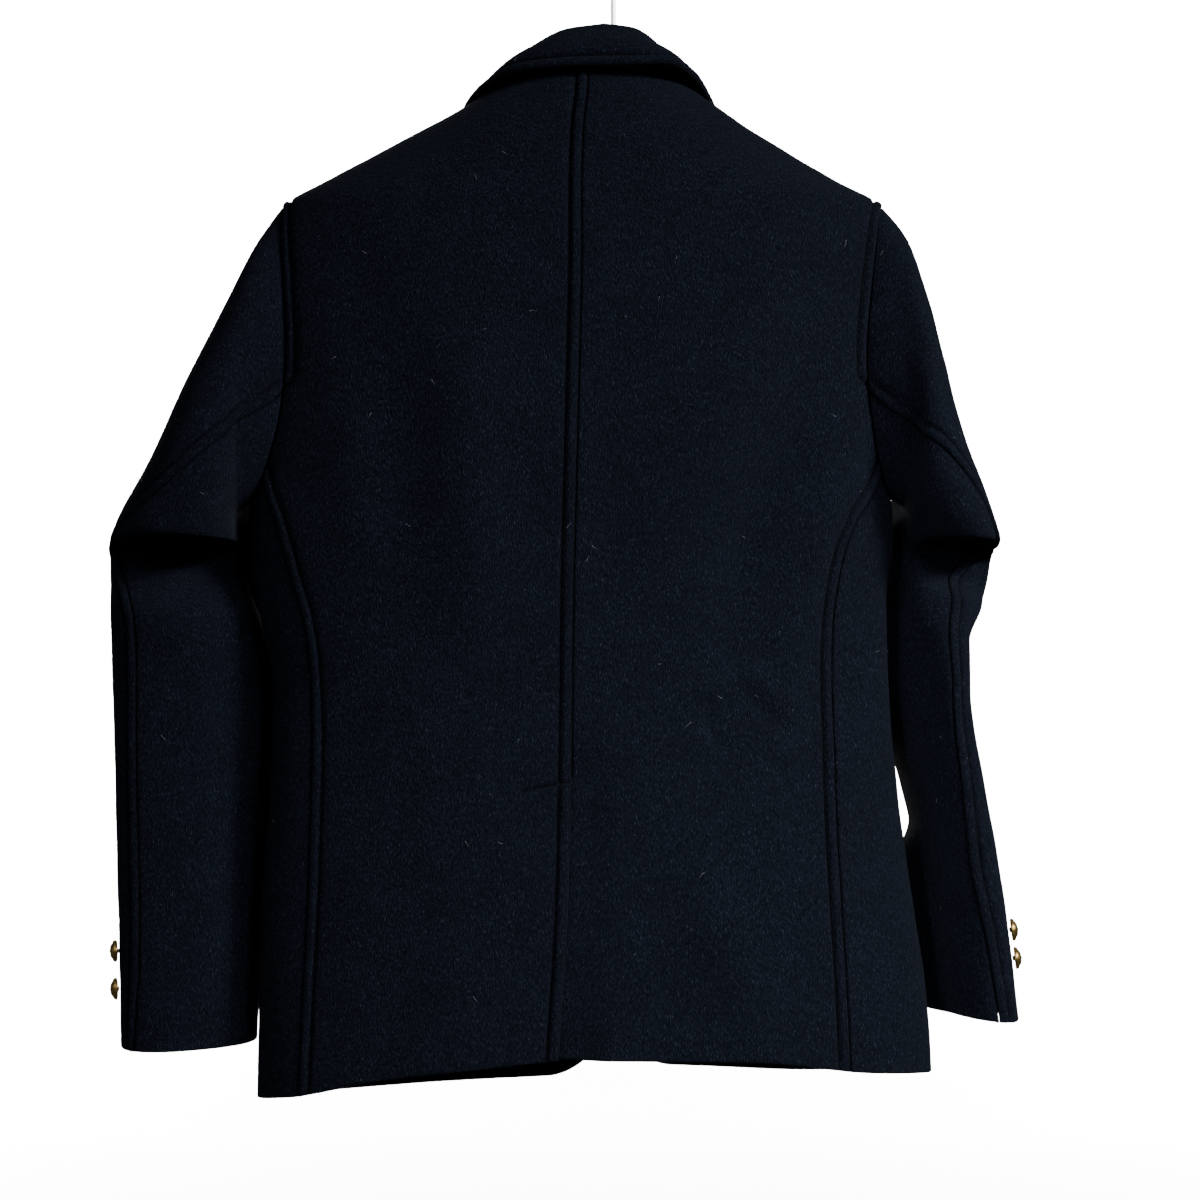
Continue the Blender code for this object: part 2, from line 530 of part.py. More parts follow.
def lapel(side, cloth):
    """The facing that shows: it turns over the roll line onto the front."""
    head, foot = NECK[-1, 1] + 0.006, (0.445 if side > 0 else 0.352)
    rows, columns = 13, 5
    v = np.linspace(0, 1, rows)
    roll_drop = head + (foot - head) * v
    roll = np.stack([roll_x(side, roll_drop), roll_drop], -1)
    turned = roll + (side * 0.0065, 0)
    tip = (side * 0.126, 0.176)
    heel = (0.006, 0.452) if side > 0 else (-0.026, 0.445)
    outer_edge = np.stack([tip[0] + (heel[0] - tip[0]) * v + side * 0.012 * np.sin(math.pi * v),
                           tip[1] + (heel[1] - tip[1]) * v], -1)
    u = np.linspace(0, 1, columns)[:, None]
    gorge = turned[0] + (outer_edge[0] - turned[0]) * u - np.sin(math.pi * u) * (0, 0.004)
    grid = patch(gorge, turned[-1] + (outer_edge[-1] - turned[-1]) * u, turned, outer_edge)
    height = LAID_ON + 0.0030 * (1 - np.linspace(0, 1, columns)) ** 2
    x = np.concatenate([roll[:, :1] - side * np.array([r[0] for r in ROLL]), grid[..., 0]], 1)
    drop = np.concatenate([np.repeat(roll[:, 1:], len(ROLL), 1), grid[..., 1]], 1)
    lift = np.concatenate([[r[1] for r in ROLL], height])[None] + front_lap(side, x, drop)
    points = on_body(degrees_at(side, x, drop, True), drop, lift)
    normals = grid_normals(points)
    wall("lapel_" + label(side), points, normals * np.sign(-normals[5, -2, 1]), cloth)


def collar(cloth):
    """Stand, fold and fall, from one front end round the neck to the other."""
    along = np.concatenate([-np.linspace(1, 0, 13), np.linspace(0, 1, 13)[1:]])
    left, reach = along >= 0, np.abs(along)
    side = np.where(left, 1.0, -1.0)
    columns = [np.where(left, follow(COLLAR[1], column, along), follow(COLLAR[-1], column, -along))
               for column in range(1, 8)]
    seam_degrees = side * columns[0]
    seam_drop = follow(NECK, 1, columns[0])
    lifted = unit(np.stack([-side * 0.35 * np.sin(np.radians(columns[0])),
                            0 * along, np.ones_like(along)], -1))
    seam = on_body(seam_degrees, seam_drop, -0.0006 - 0.0030 * (1 - reach ** 4)) + 0.0012 * lifted
    fold = np.stack([side * columns[1], columns[2], columns[3]], -1)
    edge = np.stack([side * columns[4], columns[5], columns[6]], -1)
    fall = unit(edge - fold)
    up = unit(unit(fold - seam) - fall)
    outward = body_normal(seam_degrees, seam_drop)
    outward = unit(outward - (outward * up).sum(-1, keepdims=True) * up)
    centre = fold - COLLAR_FOLD * up
    rows = [seam, seam + 0.5 * (centre - COLLAR_FOLD * outward - seam)]
    for angle in np.radians([180, 135, 90, 45, 0]):
        rows.append(centre + COLLAR_FOLD * (math.cos(angle) * outward + math.sin(angle) * up))
    start = rows[-1]
    bulge = unit(np.cross(np.gradient(edge, axis=0), fall))
    bulge *= np.sign((bulge * outward).sum(-1, keepdims=True))
    for share in (0.33, 0.67, 1.0):
        rows.append(start + share * (edge - start) + 0.0032 * math.sin(math.pi * share) * bulge)
    points = np.stack(rows)
    normals = grid_normals(points)
    wall("collar", points, normals * np.sign((normals[-2, 12] * outward[12]).sum()), cloth)


def sleeve_point(side, row, turn):
    """A point of a sleeve: row along its table, degrees from its outer end."""
    table = SLEEVE[side]
    row, turn = np.broadcast_arrays(np.asarray(row, float), np.asarray(turn, float))
    value = [follow(table, column, row) for column in range(1, 10)]
    outer = np.stack([value[0], 0 * row, -value[1]], -1)
    inner = np.stack([value[2], 0 * row, -value[3]], -1)
    half = np.linalg.norm(outer - inner, axis=-1, keepdims=True) / 2
    reach = (outer - inner) / (2 * half)
    twist = np.radians(value[8])[..., None]
    back = np.array([0.0, 1.0, 0.0])
    along = np.cos(twist) * reach + np.sin(twist) * back
    across = np.cos(twist) * back - np.sin(twist) * reach
    deep, wide = rounded(np.radians(turn), SLEEVE_POWER)
    depth = np.where(deep > 0, value[5], value[6])
    place = (outer + inner) / 2 + value[4][..., None] * back
    place = place + wide[..., None] * half * along + (deep * depth)[..., None] * across
    place[..., 2] += value[7] * np.maximum(deep, 0) ** 2
    return place


def sleeve(side, row, turn):
    """The same, led in from the armhole line over the first rows."""
    line = armhole(side, turn)
    start = on_body(line[..., 0], line[..., 1], SLEEVE_STEP)
    remain = 1 - ease(0, 1.3, np.asarray(row, float))
    return sleeve_point(side, row, turn) + remain[..., None] * (start - sleeve_point(side, 0.0, turn))


def sleeve_normal(side, row, turn):
    step, twist = 0.02, 0.6
    along = sleeve(side, np.minimum(row + step, 12), turn) - sleeve(side, np.maximum(row - step, 0), turn)
    around = sleeve(side, row, turn + twist) - sleeve(side, row, turn - twist)
    return unit(np.cross(along, around)) * side


def sleeve_piece(side, name, clock, cloth):
    """One of the two lengths of a sleeve, between its hind and fore seams."""
    table = SLEEVE[side]
    rows = np.array(SLEEVE_STEPS, float)[:, None]
    share = ((clock - clock[0]) / (clock[-1] - clock[0]))[None, :]
    hind, fore = follow(table, 10, rows), follow(table, 11, rows)
    first, last = (fore - 360, hind) if name == "top_sleeve" else (hind, fore)
    turn = first + (last - first) * share
    points = draw_in(sleeve(side, rows, turn))
    wall(name + "_" + label(side), points, sleeve_normal(side, rows, turn), cloth)


def pocket_flap(side, cloth):
    columns, rows = 9, 4
    u = np.linspace(0, 1, columns)[None, :]
    v = np.linspace(0, 1, rows)[:, None]
    degrees = side * (103 + 33 * u + 0 * v)
    drop = 0.572 + 0.052 * v + 0.006 * u
    lift = LAID_ON + 0.0022 * np.sin(math.pi * v / 2) * (1 - 0.4 * u)
    points = on_body(degrees, drop, lift)
    wall("pocket_flap_" + label(side), points, body_normal(degrees, drop), cloth)


def button(name, place, direction, size, gold):
    """A domed button on its shank, turned about its own axis."""
    profile = ((0.0, 0.0062), (0.34, 0.0060), (0.66, 0.0050), (0.88, 0.0037), (1.0, 0.0026),
               (1.0, 0.0018), (0.86, 0.0013), (0.24, 0.0013), (0.20, 0.0), (0.0, 0.0))
    data = bpy.data.meshes.new(name)
    corners = [(size * across, 0, up) for across, up in profile]
    data.from_pydata(corners, [(i, i + 1) for i in range(len(corners) - 1)], [])
    made = add(name, data, gold)
    made.location = Vector(place) + BUTTON_LIFT * Vector(direction)
    made.rotation_mode = "QUATERNION"
    made.rotation_quaternion = Vector(direction).to_track_quat("Z", "Y")
    turned = made.modifiers.new("turned", "SCREW")
    turned.steps = turned.render_steps = 14
    turned.use_merge_vertices = True
    turned.merge_threshold = 0.00005
    turned.use_smooth_shade = True


def cuff_buttons(side, gold):
    """Two on each sleeve, beside the hind seam: row along, degrees round."""
    places = {1: ((11.07, -4), (11.44, -4)), -1: ((11.04, 52), (11.36, 52))}
    for number, (row, turn) in enumerate(places[side], 1):
        place = sleeve(side, np.array(row), np.array(float(turn)))
        direction = sleeve_normal(side, np.array(row), np.array(float(turn)))
        button(f"cuff_button_{label(side)}_{number}", place, direction, 0.0080, gold)


def front_buttons(gold):
    for number, drop in enumerate((0.492, 0.592), 1):
        x = follow(BODY, 4, np.array(drop))
        degrees = degrees_at(1, x, np.array(drop), True)
        place = on_body(degrees, np.array(drop), LAPPED)
        button(f"front_button_{number}", place, body_normal(degrees, np.array(drop)), 0.0100, gold)


def shoulder_drop(x):
    """The lower of the two shoulder ridges at this distance from the centre."""
    drops = np.linspace(BODY[0, 0], ARMHOLE[1][0], 200)
    left, right = follow(BODY, 1, drops), -follow(BODY, 2, drops)
    return max(np.interp(x, left, drops), np.interp(x, right, drops))


def tube(name, points, radius, material):
    curve = bpy.data.curves.new(name, "CURVE")
    curve.dimensions = "3D"
    curve.bevel_depth = radius
    curve.bevel_resolution = 2
    curve.use_fill_caps = True
    line = curve.splines.new("POLY")
    line.points.add(len(points) - 1)
    for point, place in zip(line.points, points):
        point.co = (*place, 1)
    return add(name, curve, material)


def hanger(wood, steel):
    """A plain bar under both shoulders, and a wire hook that leans out of it."""
    arm = []
    for x in np.linspace(-BAR_REACH, BAR_REACH, 25):
        depth = shoulder_drop(max(abs(x), BAR_LEVEL)) + (CLOTH + 0.0012 + WOOD) / math.cos(math.radians(30))
        arm.append((x, 0.0, -depth))
    tube("hanger_bar", arm, WOOD, wood)
    foot = arm[12][2] + WOOD + 0.0003
    middle = -(HOOK_RADIUS - WIRE)
    line = [(0.0, 0.0, foot), (0.0, 0.0, foot + 0.010)]
    for t in np.linspace(0.2, 1, 5):
        line.append((-HOOK_RADIUS * ease(0, 1, t), 0.0, foot + 0.010 + 0.022 * t))
    for angle in np.radians(np.linspace(180, -35, 20)):
        line.append((HOOK_RADIUS * math.cos(angle), 0.0, middle + HOOK_RADIUS * math.sin(angle)))
    tube("hanger_hook", line, WIRE, steel)


def main():
    for old in list(bpy.data.objects):
        bpy.data.objects.remove(old, do_unlink=True)
    bpy.context.scene.collection.children.link(bpy.data.collections.new(NAME))
    cloth = finish("navy_wool", FABRIC, 0.95, 0.0)
    gold = finish("gold", GOLD, 0.32, 1.0)
    for side in (1, -1):
        back_panel(side, cloth)
        side_panel(side, cloth)
        front_panel(side, cloth)
        lapel(side, cloth)
        pocket_flap(side, cloth)
        top_clock = np.concatenate([FRONT_CLOCK[2:] - 360, BACK_CLOCK[3:-1][::-1]])
        under_clock = join(BACK_CLOCK[:4][::-1], UNDER_CLOCK, FRONT_CLOCK[:3])
        sleeve_piece(side, "top_sleeve", top_clock, cloth)
        sleeve_piece(side, "under_sleeve", under_clock, cloth)
        cuff_buttons(side, gold)
    collar(cloth)
    front_buttons(gold)
    hanger(finish("beech", BEECH, 0.45, 0.0), finish("steel", STEEL, 0.3, 1.0))


main()
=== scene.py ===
import math

import bpy
import numpy as np
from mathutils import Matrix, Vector


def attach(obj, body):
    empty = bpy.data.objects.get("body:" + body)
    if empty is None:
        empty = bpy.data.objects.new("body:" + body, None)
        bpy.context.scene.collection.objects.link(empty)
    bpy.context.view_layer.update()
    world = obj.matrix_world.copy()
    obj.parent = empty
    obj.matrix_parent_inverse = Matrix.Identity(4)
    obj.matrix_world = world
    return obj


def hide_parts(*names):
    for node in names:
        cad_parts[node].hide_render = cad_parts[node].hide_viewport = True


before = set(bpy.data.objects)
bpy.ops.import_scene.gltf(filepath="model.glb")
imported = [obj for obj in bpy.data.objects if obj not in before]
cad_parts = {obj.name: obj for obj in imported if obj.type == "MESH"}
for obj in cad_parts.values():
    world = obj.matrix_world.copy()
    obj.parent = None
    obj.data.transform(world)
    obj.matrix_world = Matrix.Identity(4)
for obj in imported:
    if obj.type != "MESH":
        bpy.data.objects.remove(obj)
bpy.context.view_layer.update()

# Driving sizes, as in the solids
CLOTH = 0.0022            # thick felted wool
SEAM = 0.00015            # every edge is drawn in this far from its seam line
LAPPED = 0.0036           # step between two fronts, or two sides of the vent
LAID_ON = 0.0029          # outer face of a flap or lapel above the panel below
VENT_TOP = 0.585          # all drops are measured down from the hook
VENT_LAP = 8.2            # degrees that the vent's hidden side runs past the seam
ARMHOLE = {1: (0.1825, 0.3920), -1: (0.1825, 0.3885)}     # top and bottom drop
ARMHOLE_REACH = 27.0      # degrees either side of the side line, at its widest
ARMHOLE_ROUND = 0.6       # below 1 the armhole is fuller than an ellipse
SLEEVE_STEP = 0.0006      # the sleeve starts this far outside the armhole
SLEEVE_POWER = 2.2        # 2 is an ellipse, more is squarer
COLLAR_FOLD = 0.0038      # radius of the collar's fold
BUTTON_LIFT = 0.0003      # clear of the cloth, on its thread

# The vent's hidden side passes under the other one
VENT_DEEPER = 0.0024      # how much further than LAPPED it sinks
VENT_SINK = (-8.5, -1.6)  # degrees from the centre back over which it does so
VENT_FADE = (0.040, 0.006)                    # heights above VENT_TOP, likewise
VENT_TACK = (0.0015, 0.0330)                  # its short row of stitches, out from the centre
VENT_TACK_SLOPE = 0.19    # how much that row falls for each metre out
VENT_TACK_UP = 0.0010     # its inner end, above VENT_TOP

# Sizes of the sewing and the cloth's surface
STITCH_IN = 0.0080        # topstitching lies this far inside a seam
STITCH_PITCH = 0.0034     # from one stitch to the next
STITCH_HALF = 0.42 * STITCH_PITCH             # half a stitch's length
THREAD = 0.00030          # radius of the thread
TURNED = 0.0020           # how far in from an edge the cloth rolls over
OUTER_TURN = 0.95         # share of that roll that the outer face takes
INNER_TURN = 0.60         # and that the inner face takes
BAND = 0.00125            # height of the band between a seam and its stitches
PULL, PULL_WIDTH = 0.00210, 0.0015            # how deep and wide the stitches pull in
PUCKER, PUCKER_WIDTH = 0.00030, 0.0055        # how high and far puckers run from them
END_SHARE = 0.35          # share of that relief left at a grid's bottom and top
END_FADE = 0.010          # how far in from them it is whole again
TACK_PULL, TACK_WIDTH = 0.0022, 0.0013        # how deep and wide the vent's short row pulls in
EDGE_GROOVE_SHADE, SEWN_GROOVE_SHADE, TACK_GROOVE_SHADE = 0.45, 0.62, 0.85     # how dark the painted shade along each line is drawn
GROOVE_SHADE_WIDTH = 0.0012     # and how wide
HIDDEN = 0.0011           # how far a seam allowance runs past its seam
SLEEVE_HIDDEN = 0.0026    # the same where a sleeve is set in
COLLAR_HIDDEN = 0.0050    # and where the collar is

# Where grid lines run near an edge, in metres from it
SEWN_STEPS = (0, 0.0003, 0.0007, 0.0011, 0.0016, 0.0025, 0.0038, 0.0052, 0.0063, 0.0069, 0.0074, 0.0078,
              0.0082, 0.0086, 0.0091, 0.0097, 0.0107, 0.0122, 0.0145, 0.0175, 0.0206)
PLAIN_STEPS = (0, 0.0003, 0.0007, 0.0011, 0.0017, 0.0027, 0.0042, 0.0063, 0.0090, 0.0120)
VENT_ROWS = np.linspace(0.284, 0.326, 19)     # extra rows where the vent's top is stitched
COARSE = 0.0034     # the widest step between grid lines
COLLAR_COARSE, FALL_COARSE, FLAP_COARSE = 0.0026, 0.002, 0.002     # and where it is smaller
FINE = 16                 # points of an outline for each step the solids have
AT_ONCE = 3000            # points whose distances are worked out together

# How wide and long each grid is taken to be when its lines are laid out
BACK_GRID, SIDE_GRID, FRONT_GRID = (0.205, 0.70), (0.085, 0.40), (0.205, 0.66)
LAPEL_GRID, COLLAR_GRID, FLAP_GRID = (0.068, 0.28), (0.036, 0.46), (0.075, 0.052)
SLEEVE_ACROSS = 0.135     # its length is measured instead

# A grid's four edges, each with the line beside it
BOTTOM, TOP, START, END = range(4)
EDGES = ((np.s_[0, :], np.s_[1, :]), (np.s_[-1, :], np.s_[-2, :]),
         (np.s_[:, 0], np.s_[:, 1]), (np.s_[:, -1], np.s_[:, -2]))

# Fibres: how many, their shortest and longest, their radius
FUZZ_COUNT, FUZZ_LENGTH, FUZZ_RADIUS = (9000), (0.0010, 0.0026), 0.000045
LINT_COUNT, LINT_LENGTH, LINT_RADIUS = 110, (0.0012, 0.0058), 0.00012
FUZZ_UP, FUZZ_LOOSE, FUZZ_DROOP = 0.75, 0.62, (0, 0, -0.25)     # how its way is made up
FIBRE_OFF = 0.0003        # fuzz starts this far under the cloth's face, lint over it
FIBRE_BOW, FIBRE_TAPER = 0.55, 0.75           # how much a fibre bends, and thins towards its tip

WOOL_DARK = (0.0014, 0.0024, 0.0060)
WOOL_MID = (0.0082, 0.0118, 0.0245)
WOOL_PALE = (0.058, 0.072, 0.110)
# painted shade: the near black that the wool turns to in seam, edge and stitch grooves
GROOVE_SHADE_COLOUR = (0.0003, 0.0004, 0.0008)
SHEEN_TINT = (0.55, 0.68, 0.95, 1)
FIBRE_COLOUR = (0.012, 0.016, 0.025)
THREAD_COLOUR = (0.0016, 0.0022, 0.0042)
LINT_COLOUR = (0.35, 0.37, 0.40)
BLACK = (0.0, 0.0, 0.0)
SHEEN = 0.020             # weight of the nap's pale edge light

CAMERA_PLACE = (-0.0071, 1.8, -0.45967)       # square behind the back's middle
CAMERA_LENS, CAMERA_SENSOR = 76.06, 36        # millimetres
FLOOR = -1.30             # level of the studio's floor
FLOOR_REACH = 3.4         # from the blazer to the upright part of the sweep
SWEEP_HALF = 5.5          # half its width
SWEEP_LINES = (90, 12)    # along it, across it
SURROUND = 0.042          # strength of the even light from all round
# share of the way along the sweep, y, height over the floor
SWEEP = np.array([
    (0.00, 4.5, 0.0),
    (0.45, 1.2 - FLOOR_REACH, 0.0),
    (0.60, -FLOOR_REACH, 1.0),
    (1.00, -FLOOR_REACH, 5.5),
])
# name, place, aimed at, size, spread in degrees, power
LIGHTS = (
    ("key_light", (-2.2, 1.7, 0.95), (0.0, 0.0, -0.45), (0.7, 0.5), 180, 80),
    ("fill_light", (2.1, 2.0, 0.7), (0.0, 0.0, -0.50), (0.9, 0.9), 180, 9),
    ("hem_light", (-0.9, 2.1, 0.45), (-0.08, 0.0, -0.95), (0.4, 0.3), 40, 1.45),
    ("sleeve_light", (1.2, 2.3, 0.20), (-0.285, 0.0, -0.60), (0.3, 0.3), 16, 0.20),
    ("front_light", (0.3, -2.2, 0.3), (0.0, 0.0, -0.45), (1.6, 1.6), 180, 38),
    ("sweep_light_left", (1.9, -1.5, 0.6), (1.3, -3.4, 0.0), (1.2, 1.2), 180, 1300),
    ("sweep_light_right", (-1.9, -1.5, 0.6), (-1.3, -3.4, 0.0), (1.2, 1.2), 180, 1300),
)

# The body's level sections. left and right are its side lines, back_x and
# front_x its centre lines, back_y and front_y its depth there.
# drop, left, right, back_x, front_x, back_y, front_y, power
BODY = np.array([
    (0.0600, 0.0360, -0.0360, 0.0000, 0.0000, 0.030, -0.020, 2.00),
    (0.0763, 0.0469, -0.0469, 0.0005, 0.0010, 0.036, -0.026, 2.00),
    (0.0905, 0.0603, -0.0611, 0.0010, 0.0010, 0.041, -0.032, 2.00),
    (0.1100, 0.0888, -0.0895, 0.0020, 0.0020, 0.048, -0.040, 2.05),
    (0.1267, 0.1179, -0.1136, 0.0040, 0.0030, 0.053, -0.046, 2.10),
    (0.1450, 0.1510, -0.1420, 0.0050, 0.0040, 0.057, -0.052, 2.15),
    (0.1622, 0.1850, -0.1725, 0.0055, 0.0040, 0.060, -0.057, 2.20),
    (0.1825, 0.2180, -0.2073, 0.0057, 0.0050, 0.063, -0.061, 2.25),
    (0.2147, 0.2265, -0.2105, 0.0055, 0.0050, 0.067, -0.067, 2.35),
    (0.2500, 0.2280, -0.2095, 0.0060, 0.0050, 0.069, -0.071, 2.40),
    (0.2900, 0.2286, -0.2080, 0.0070, 0.0050, 0.070, -0.074, 2.40),
    (0.3300, 0.2310, -0.2095, 0.0080, 0.0050, 0.070, -0.075, 2.40),
    (0.3700, 0.2365, -0.2120, 0.0090, 0.0040, 0.068, -0.075, 2.35),
    (0.4100, 0.2425, -0.2150, 0.0100, 0.0030, 0.065, -0.074, 2.30),
    (0.4600, 0.2364, -0.2102, 0.0112, 0.0020, 0.062, -0.071, 2.25),
    (0.5300, 0.2237, -0.2123, 0.0120, 0.0000, 0.061, -0.069, 2.20),
    (0.6000, 0.2272, -0.2187, 0.0130, -0.0040, 0.063, -0.071, 2.20),
    (0.6700, 0.2322, -0.2286, 0.0150, -0.0090, 0.066, -0.074, 2.20),
    (0.7400, 0.2350, -0.2386, 0.0190, -0.0150, 0.069, -0.077, 2.20),
    (0.8300, 0.2364, -0.2445, 0.0255, -0.0215, 0.072, -0.080, 2.20),
])

# Where the seam between back and side panel runs: drop, left x, right x
SIDE_BACK = np.array([
    (0.400, 0.2215, -0.1875),
    (0.424, 0.2144, -0.1770),
    (0.449, 0.2074, -0.1720),
    (0.474, 0.1998, -0.1693),
    (0.508, 0.1950, -0.1685),
    (0.557, 0.1936, -0.1700),
    (0.600, 0.1943, -0.1710),
    (0.667, 0.1963, -0.1746),
    (0.723, 0.1990, -0.1780),
    (0.830, 0.2030, -0.1830),
])
SIDE_FOOT = 0.80          # the drop at which its foot is looked up
SIDE_FRONT = 113.0        # degrees round from the back, below the armhole
WAIST = 0.46              # that seam runs straight up to this drop
VENT_ENDS = (0.012, 0.004)                    # rows of the centre back below and above VENT_TOP

# The hem's drop round the body: degrees from the centre back, left, right
HEM = np.array([
    (0.0, 0.7750, 0.7750),
    (30.0, 0.7895, 0.7775),
    (55.0, 0.8048, 0.7882),
    (90.0, 0.8125, 0.7948),
    (125.0, 0.8165, 0.8010),
    (150.0, 0.8150, 0.8055),
    (180.0, 0.8110, 0.8030),
])

# The neck seam's drop: degrees from the centre back, drop
NECK = np.array([
    (0.0, 0.0825),
    (45.0, 0.0884),
    (90.0, 0.0990),
    (118.0, 0.1050),
    (132.0, 0.1130),
    (145.0, 0.1250),
    (153.5, 0.1370),
])

# The front edges below the roll line: drop, left front x, right front x
FRONT_EDGE = np.array([
    (0.470, -0.0160, 0.0220),
    (0.530, -0.0170, 0.0200),
    (0.600, -0.0180, 0.0180),
    (0.680, -0.0170, 0.0060),
    (0.740, -0.0130, -0.0120),
    (0.830, -0.0050, -0.0360),
])
QUARTER = 0.045           # size of the rounded corner at each front's hem
CORNER_AT = 175           # degrees at which that corner takes its drop from the hem
ROLL_TOP = 0.0600         # x of the roll line where it leaves the neck seam
LAP_FADE = (0.024, 0.052)                     # x from the centre front over which the lap ends

# A sleeve's rings from the armhole, row 0, to the cuff. outer and inner are
# the two ends seen from behind, back and front the depths either side of
# mid_y, lift raises the ring at the back, turn is its twist in degrees, hind
# and fore are where its two seams run, in degrees from the outer end.
# row, outer_x, outer_drop, inner_x, inner_drop, mid_y, back, front, lift, turn, hind, fore
SLEEVE = {1: np.array([
    (0.0, 0.2180, 0.1828, 0.2425, 0.3925, 0.000, 0.036, 0.036, 0.000, 0, 105, 235),
    (1.0, 0.2329, 0.2026, 0.2475, 0.3955, 0.001, 0.046, 0.044, 0.000, 0, 111, 235),
    (2.0, 0.2563, 0.2467, 0.2495, 0.3990, 0.002, 0.054, 0.050, 0.000, 0, 107, 235),
    (3.0, 0.2840, 0.3035, 0.2500, 0.4030, 0.003, 0.058, 0.054, 0.000, 2, 93, 235),
    (4.0, 0.3117, 0.3603, 0.2502, 0.4070, 0.002, 0.060, 0.055, 0.000, 4, 68, 233),
    (5.0, 0.3351, 0.4043, 0.2502, 0.4130, 0.000, 0.059, 0.052, 0.000, 6, 35, 231),
    (5.25, 0.3385, 0.4130, 0.2500, 0.4170, -0.002, 0.058, 0.050, 0.001, 8, 25, 230),
    (5.45, 0.3400, 0.4185, 0.2498, 0.4200, -0.004, 0.046, 0.048, 0.005, 9, 23, 230),
    (5.65, 0.3412, 0.4230, 0.2494, 0.4235, -0.006, 0.020, 0.047, 0.009, 10, 27, 229),
    (5.85, 0.3420, 0.4270, 0.2488, 0.4275, -0.008, 0.009, 0.046, 0.006, 11, 31, 229),
    (6.1, 0.3424, 0.4330, 0.2478, 0.4335, -0.010, 0.007, 0.045, 0.000, 12, 35, 228),
    (6.5, 0.3426, 0.4480, 0.2448, 0.4480, -0.013, 0.019, 0.043, 0.000, 14, 40, 228),
    (7.0, 0.3431, 0.4740, 0.2355, 0.4740, -0.016, 0.036, 0.040, 0.000, 16, 44, 227),
    (8.0, 0.3422, 0.5165, 0.2253, 0.5165, -0.020, 0.034, 0.036, 0.000, 20, 40, 226),
    (9.0, 0.3407, 0.5733, 0.2268, 0.5733, -0.022, 0.033, 0.034, 0.000, 22, 37, 225),
    (10.0, 0.3397, 0.6443, 0.2310, 0.6443, -0.022, 0.033, 0.034, 0.000, 22, 38, 225),
    (11.0, 0.3375, 0.7046, 0.2348, 0.7046, -0.020, 0.034, 0.035, 0.000, 20, 38, 225),
    (12.0, 0.3362, 0.7790, 0.2384, 0.7760, -0.018, 0.035, 0.036, 0.000, 18, 33, 225),
]), -1: np.array([
    (0.0, -0.2073, 0.1828, -0.2152, 0.3890, 0.000, 0.036, 0.036, 0.000, 0, 106, 235),
    (1.0, -0.2222, 0.2005, -0.2205, 0.3925, 0.001, 0.046, 0.044, 0.000, 0, 113, 236),
    (2.0, -0.2386, 0.2467, -0.2226, 0.3960, 0.002, 0.055, 0.050, 0.000, 0, 108, 237),
    (3.0, -0.2492, 0.2893, -0.2232, 0.4000, 0.003, 0.060, 0.055, 0.000, -4, 100, 238),
    (4.0, -0.2613, 0.3461, -0.2236, 0.4045, 0.003, 0.063, 0.057, 0.000, -8, 81, 240),
    (5.0, -0.2769, 0.3958, -0.2240, 0.4100, 0.001, 0.062, 0.054, -0.001, -12, 62, 243),
    (5.25, -0.2820, 0.4110, -0.2242, 0.4130, -0.002, 0.060, 0.052, -0.003, -14, 58, 246),
    (5.45, -0.2850, 0.4210, -0.2244, 0.4160, -0.004, 0.048, 0.050, 0.001, -16, 54, 249),
    (5.65, -0.2875, 0.4300, -0.2245, 0.4200, -0.006, 0.022, 0.048, 0.006, -18, 60, 252),
    (5.85, -0.2885, 0.4380, -0.2246, 0.4250, -0.008, 0.008, 0.047, 0.005, -20, 74, 255),
    (6.1, -0.2875, 0.4490, -0.2246, 0.4330, -0.010, 0.006, 0.046, 0.000, -22, 93, 258),
    (6.5, -0.2790, 0.4650, -0.2220, 0.4500, -0.012, 0.030, 0.046, 0.000, -24, 107, 262),
    (7.0, -0.2610, 0.4870, -0.2190, 0.4800, -0.014, 0.046, 0.048, 0.000, -25, 112, 265),
    (8.0, -0.2585, 0.5236, -0.2185, 0.5236, -0.016, 0.052, 0.050, 0.000, -25, 110, 268),
    (9.0, -0.2670, 0.5804, -0.2270, 0.5804, -0.018, 0.052, 0.050, 0.000, -25, 117, 270),
    (10.0, -0.2798, 0.6443, -0.2398, 0.6443, -0.018, 0.050, 0.048, 0.000, -24, 124, 272),
    (11.0, -0.2880, 0.6900, -0.2470, 0.6900, -0.017, 0.048, 0.046, 0.000, -23, 118, 270),
    (12.0, -0.2975, 0.7560, -0.2535, 0.7540, -0.015, 0.046, 0.044, 0.000, -22, 106, 268),
])}

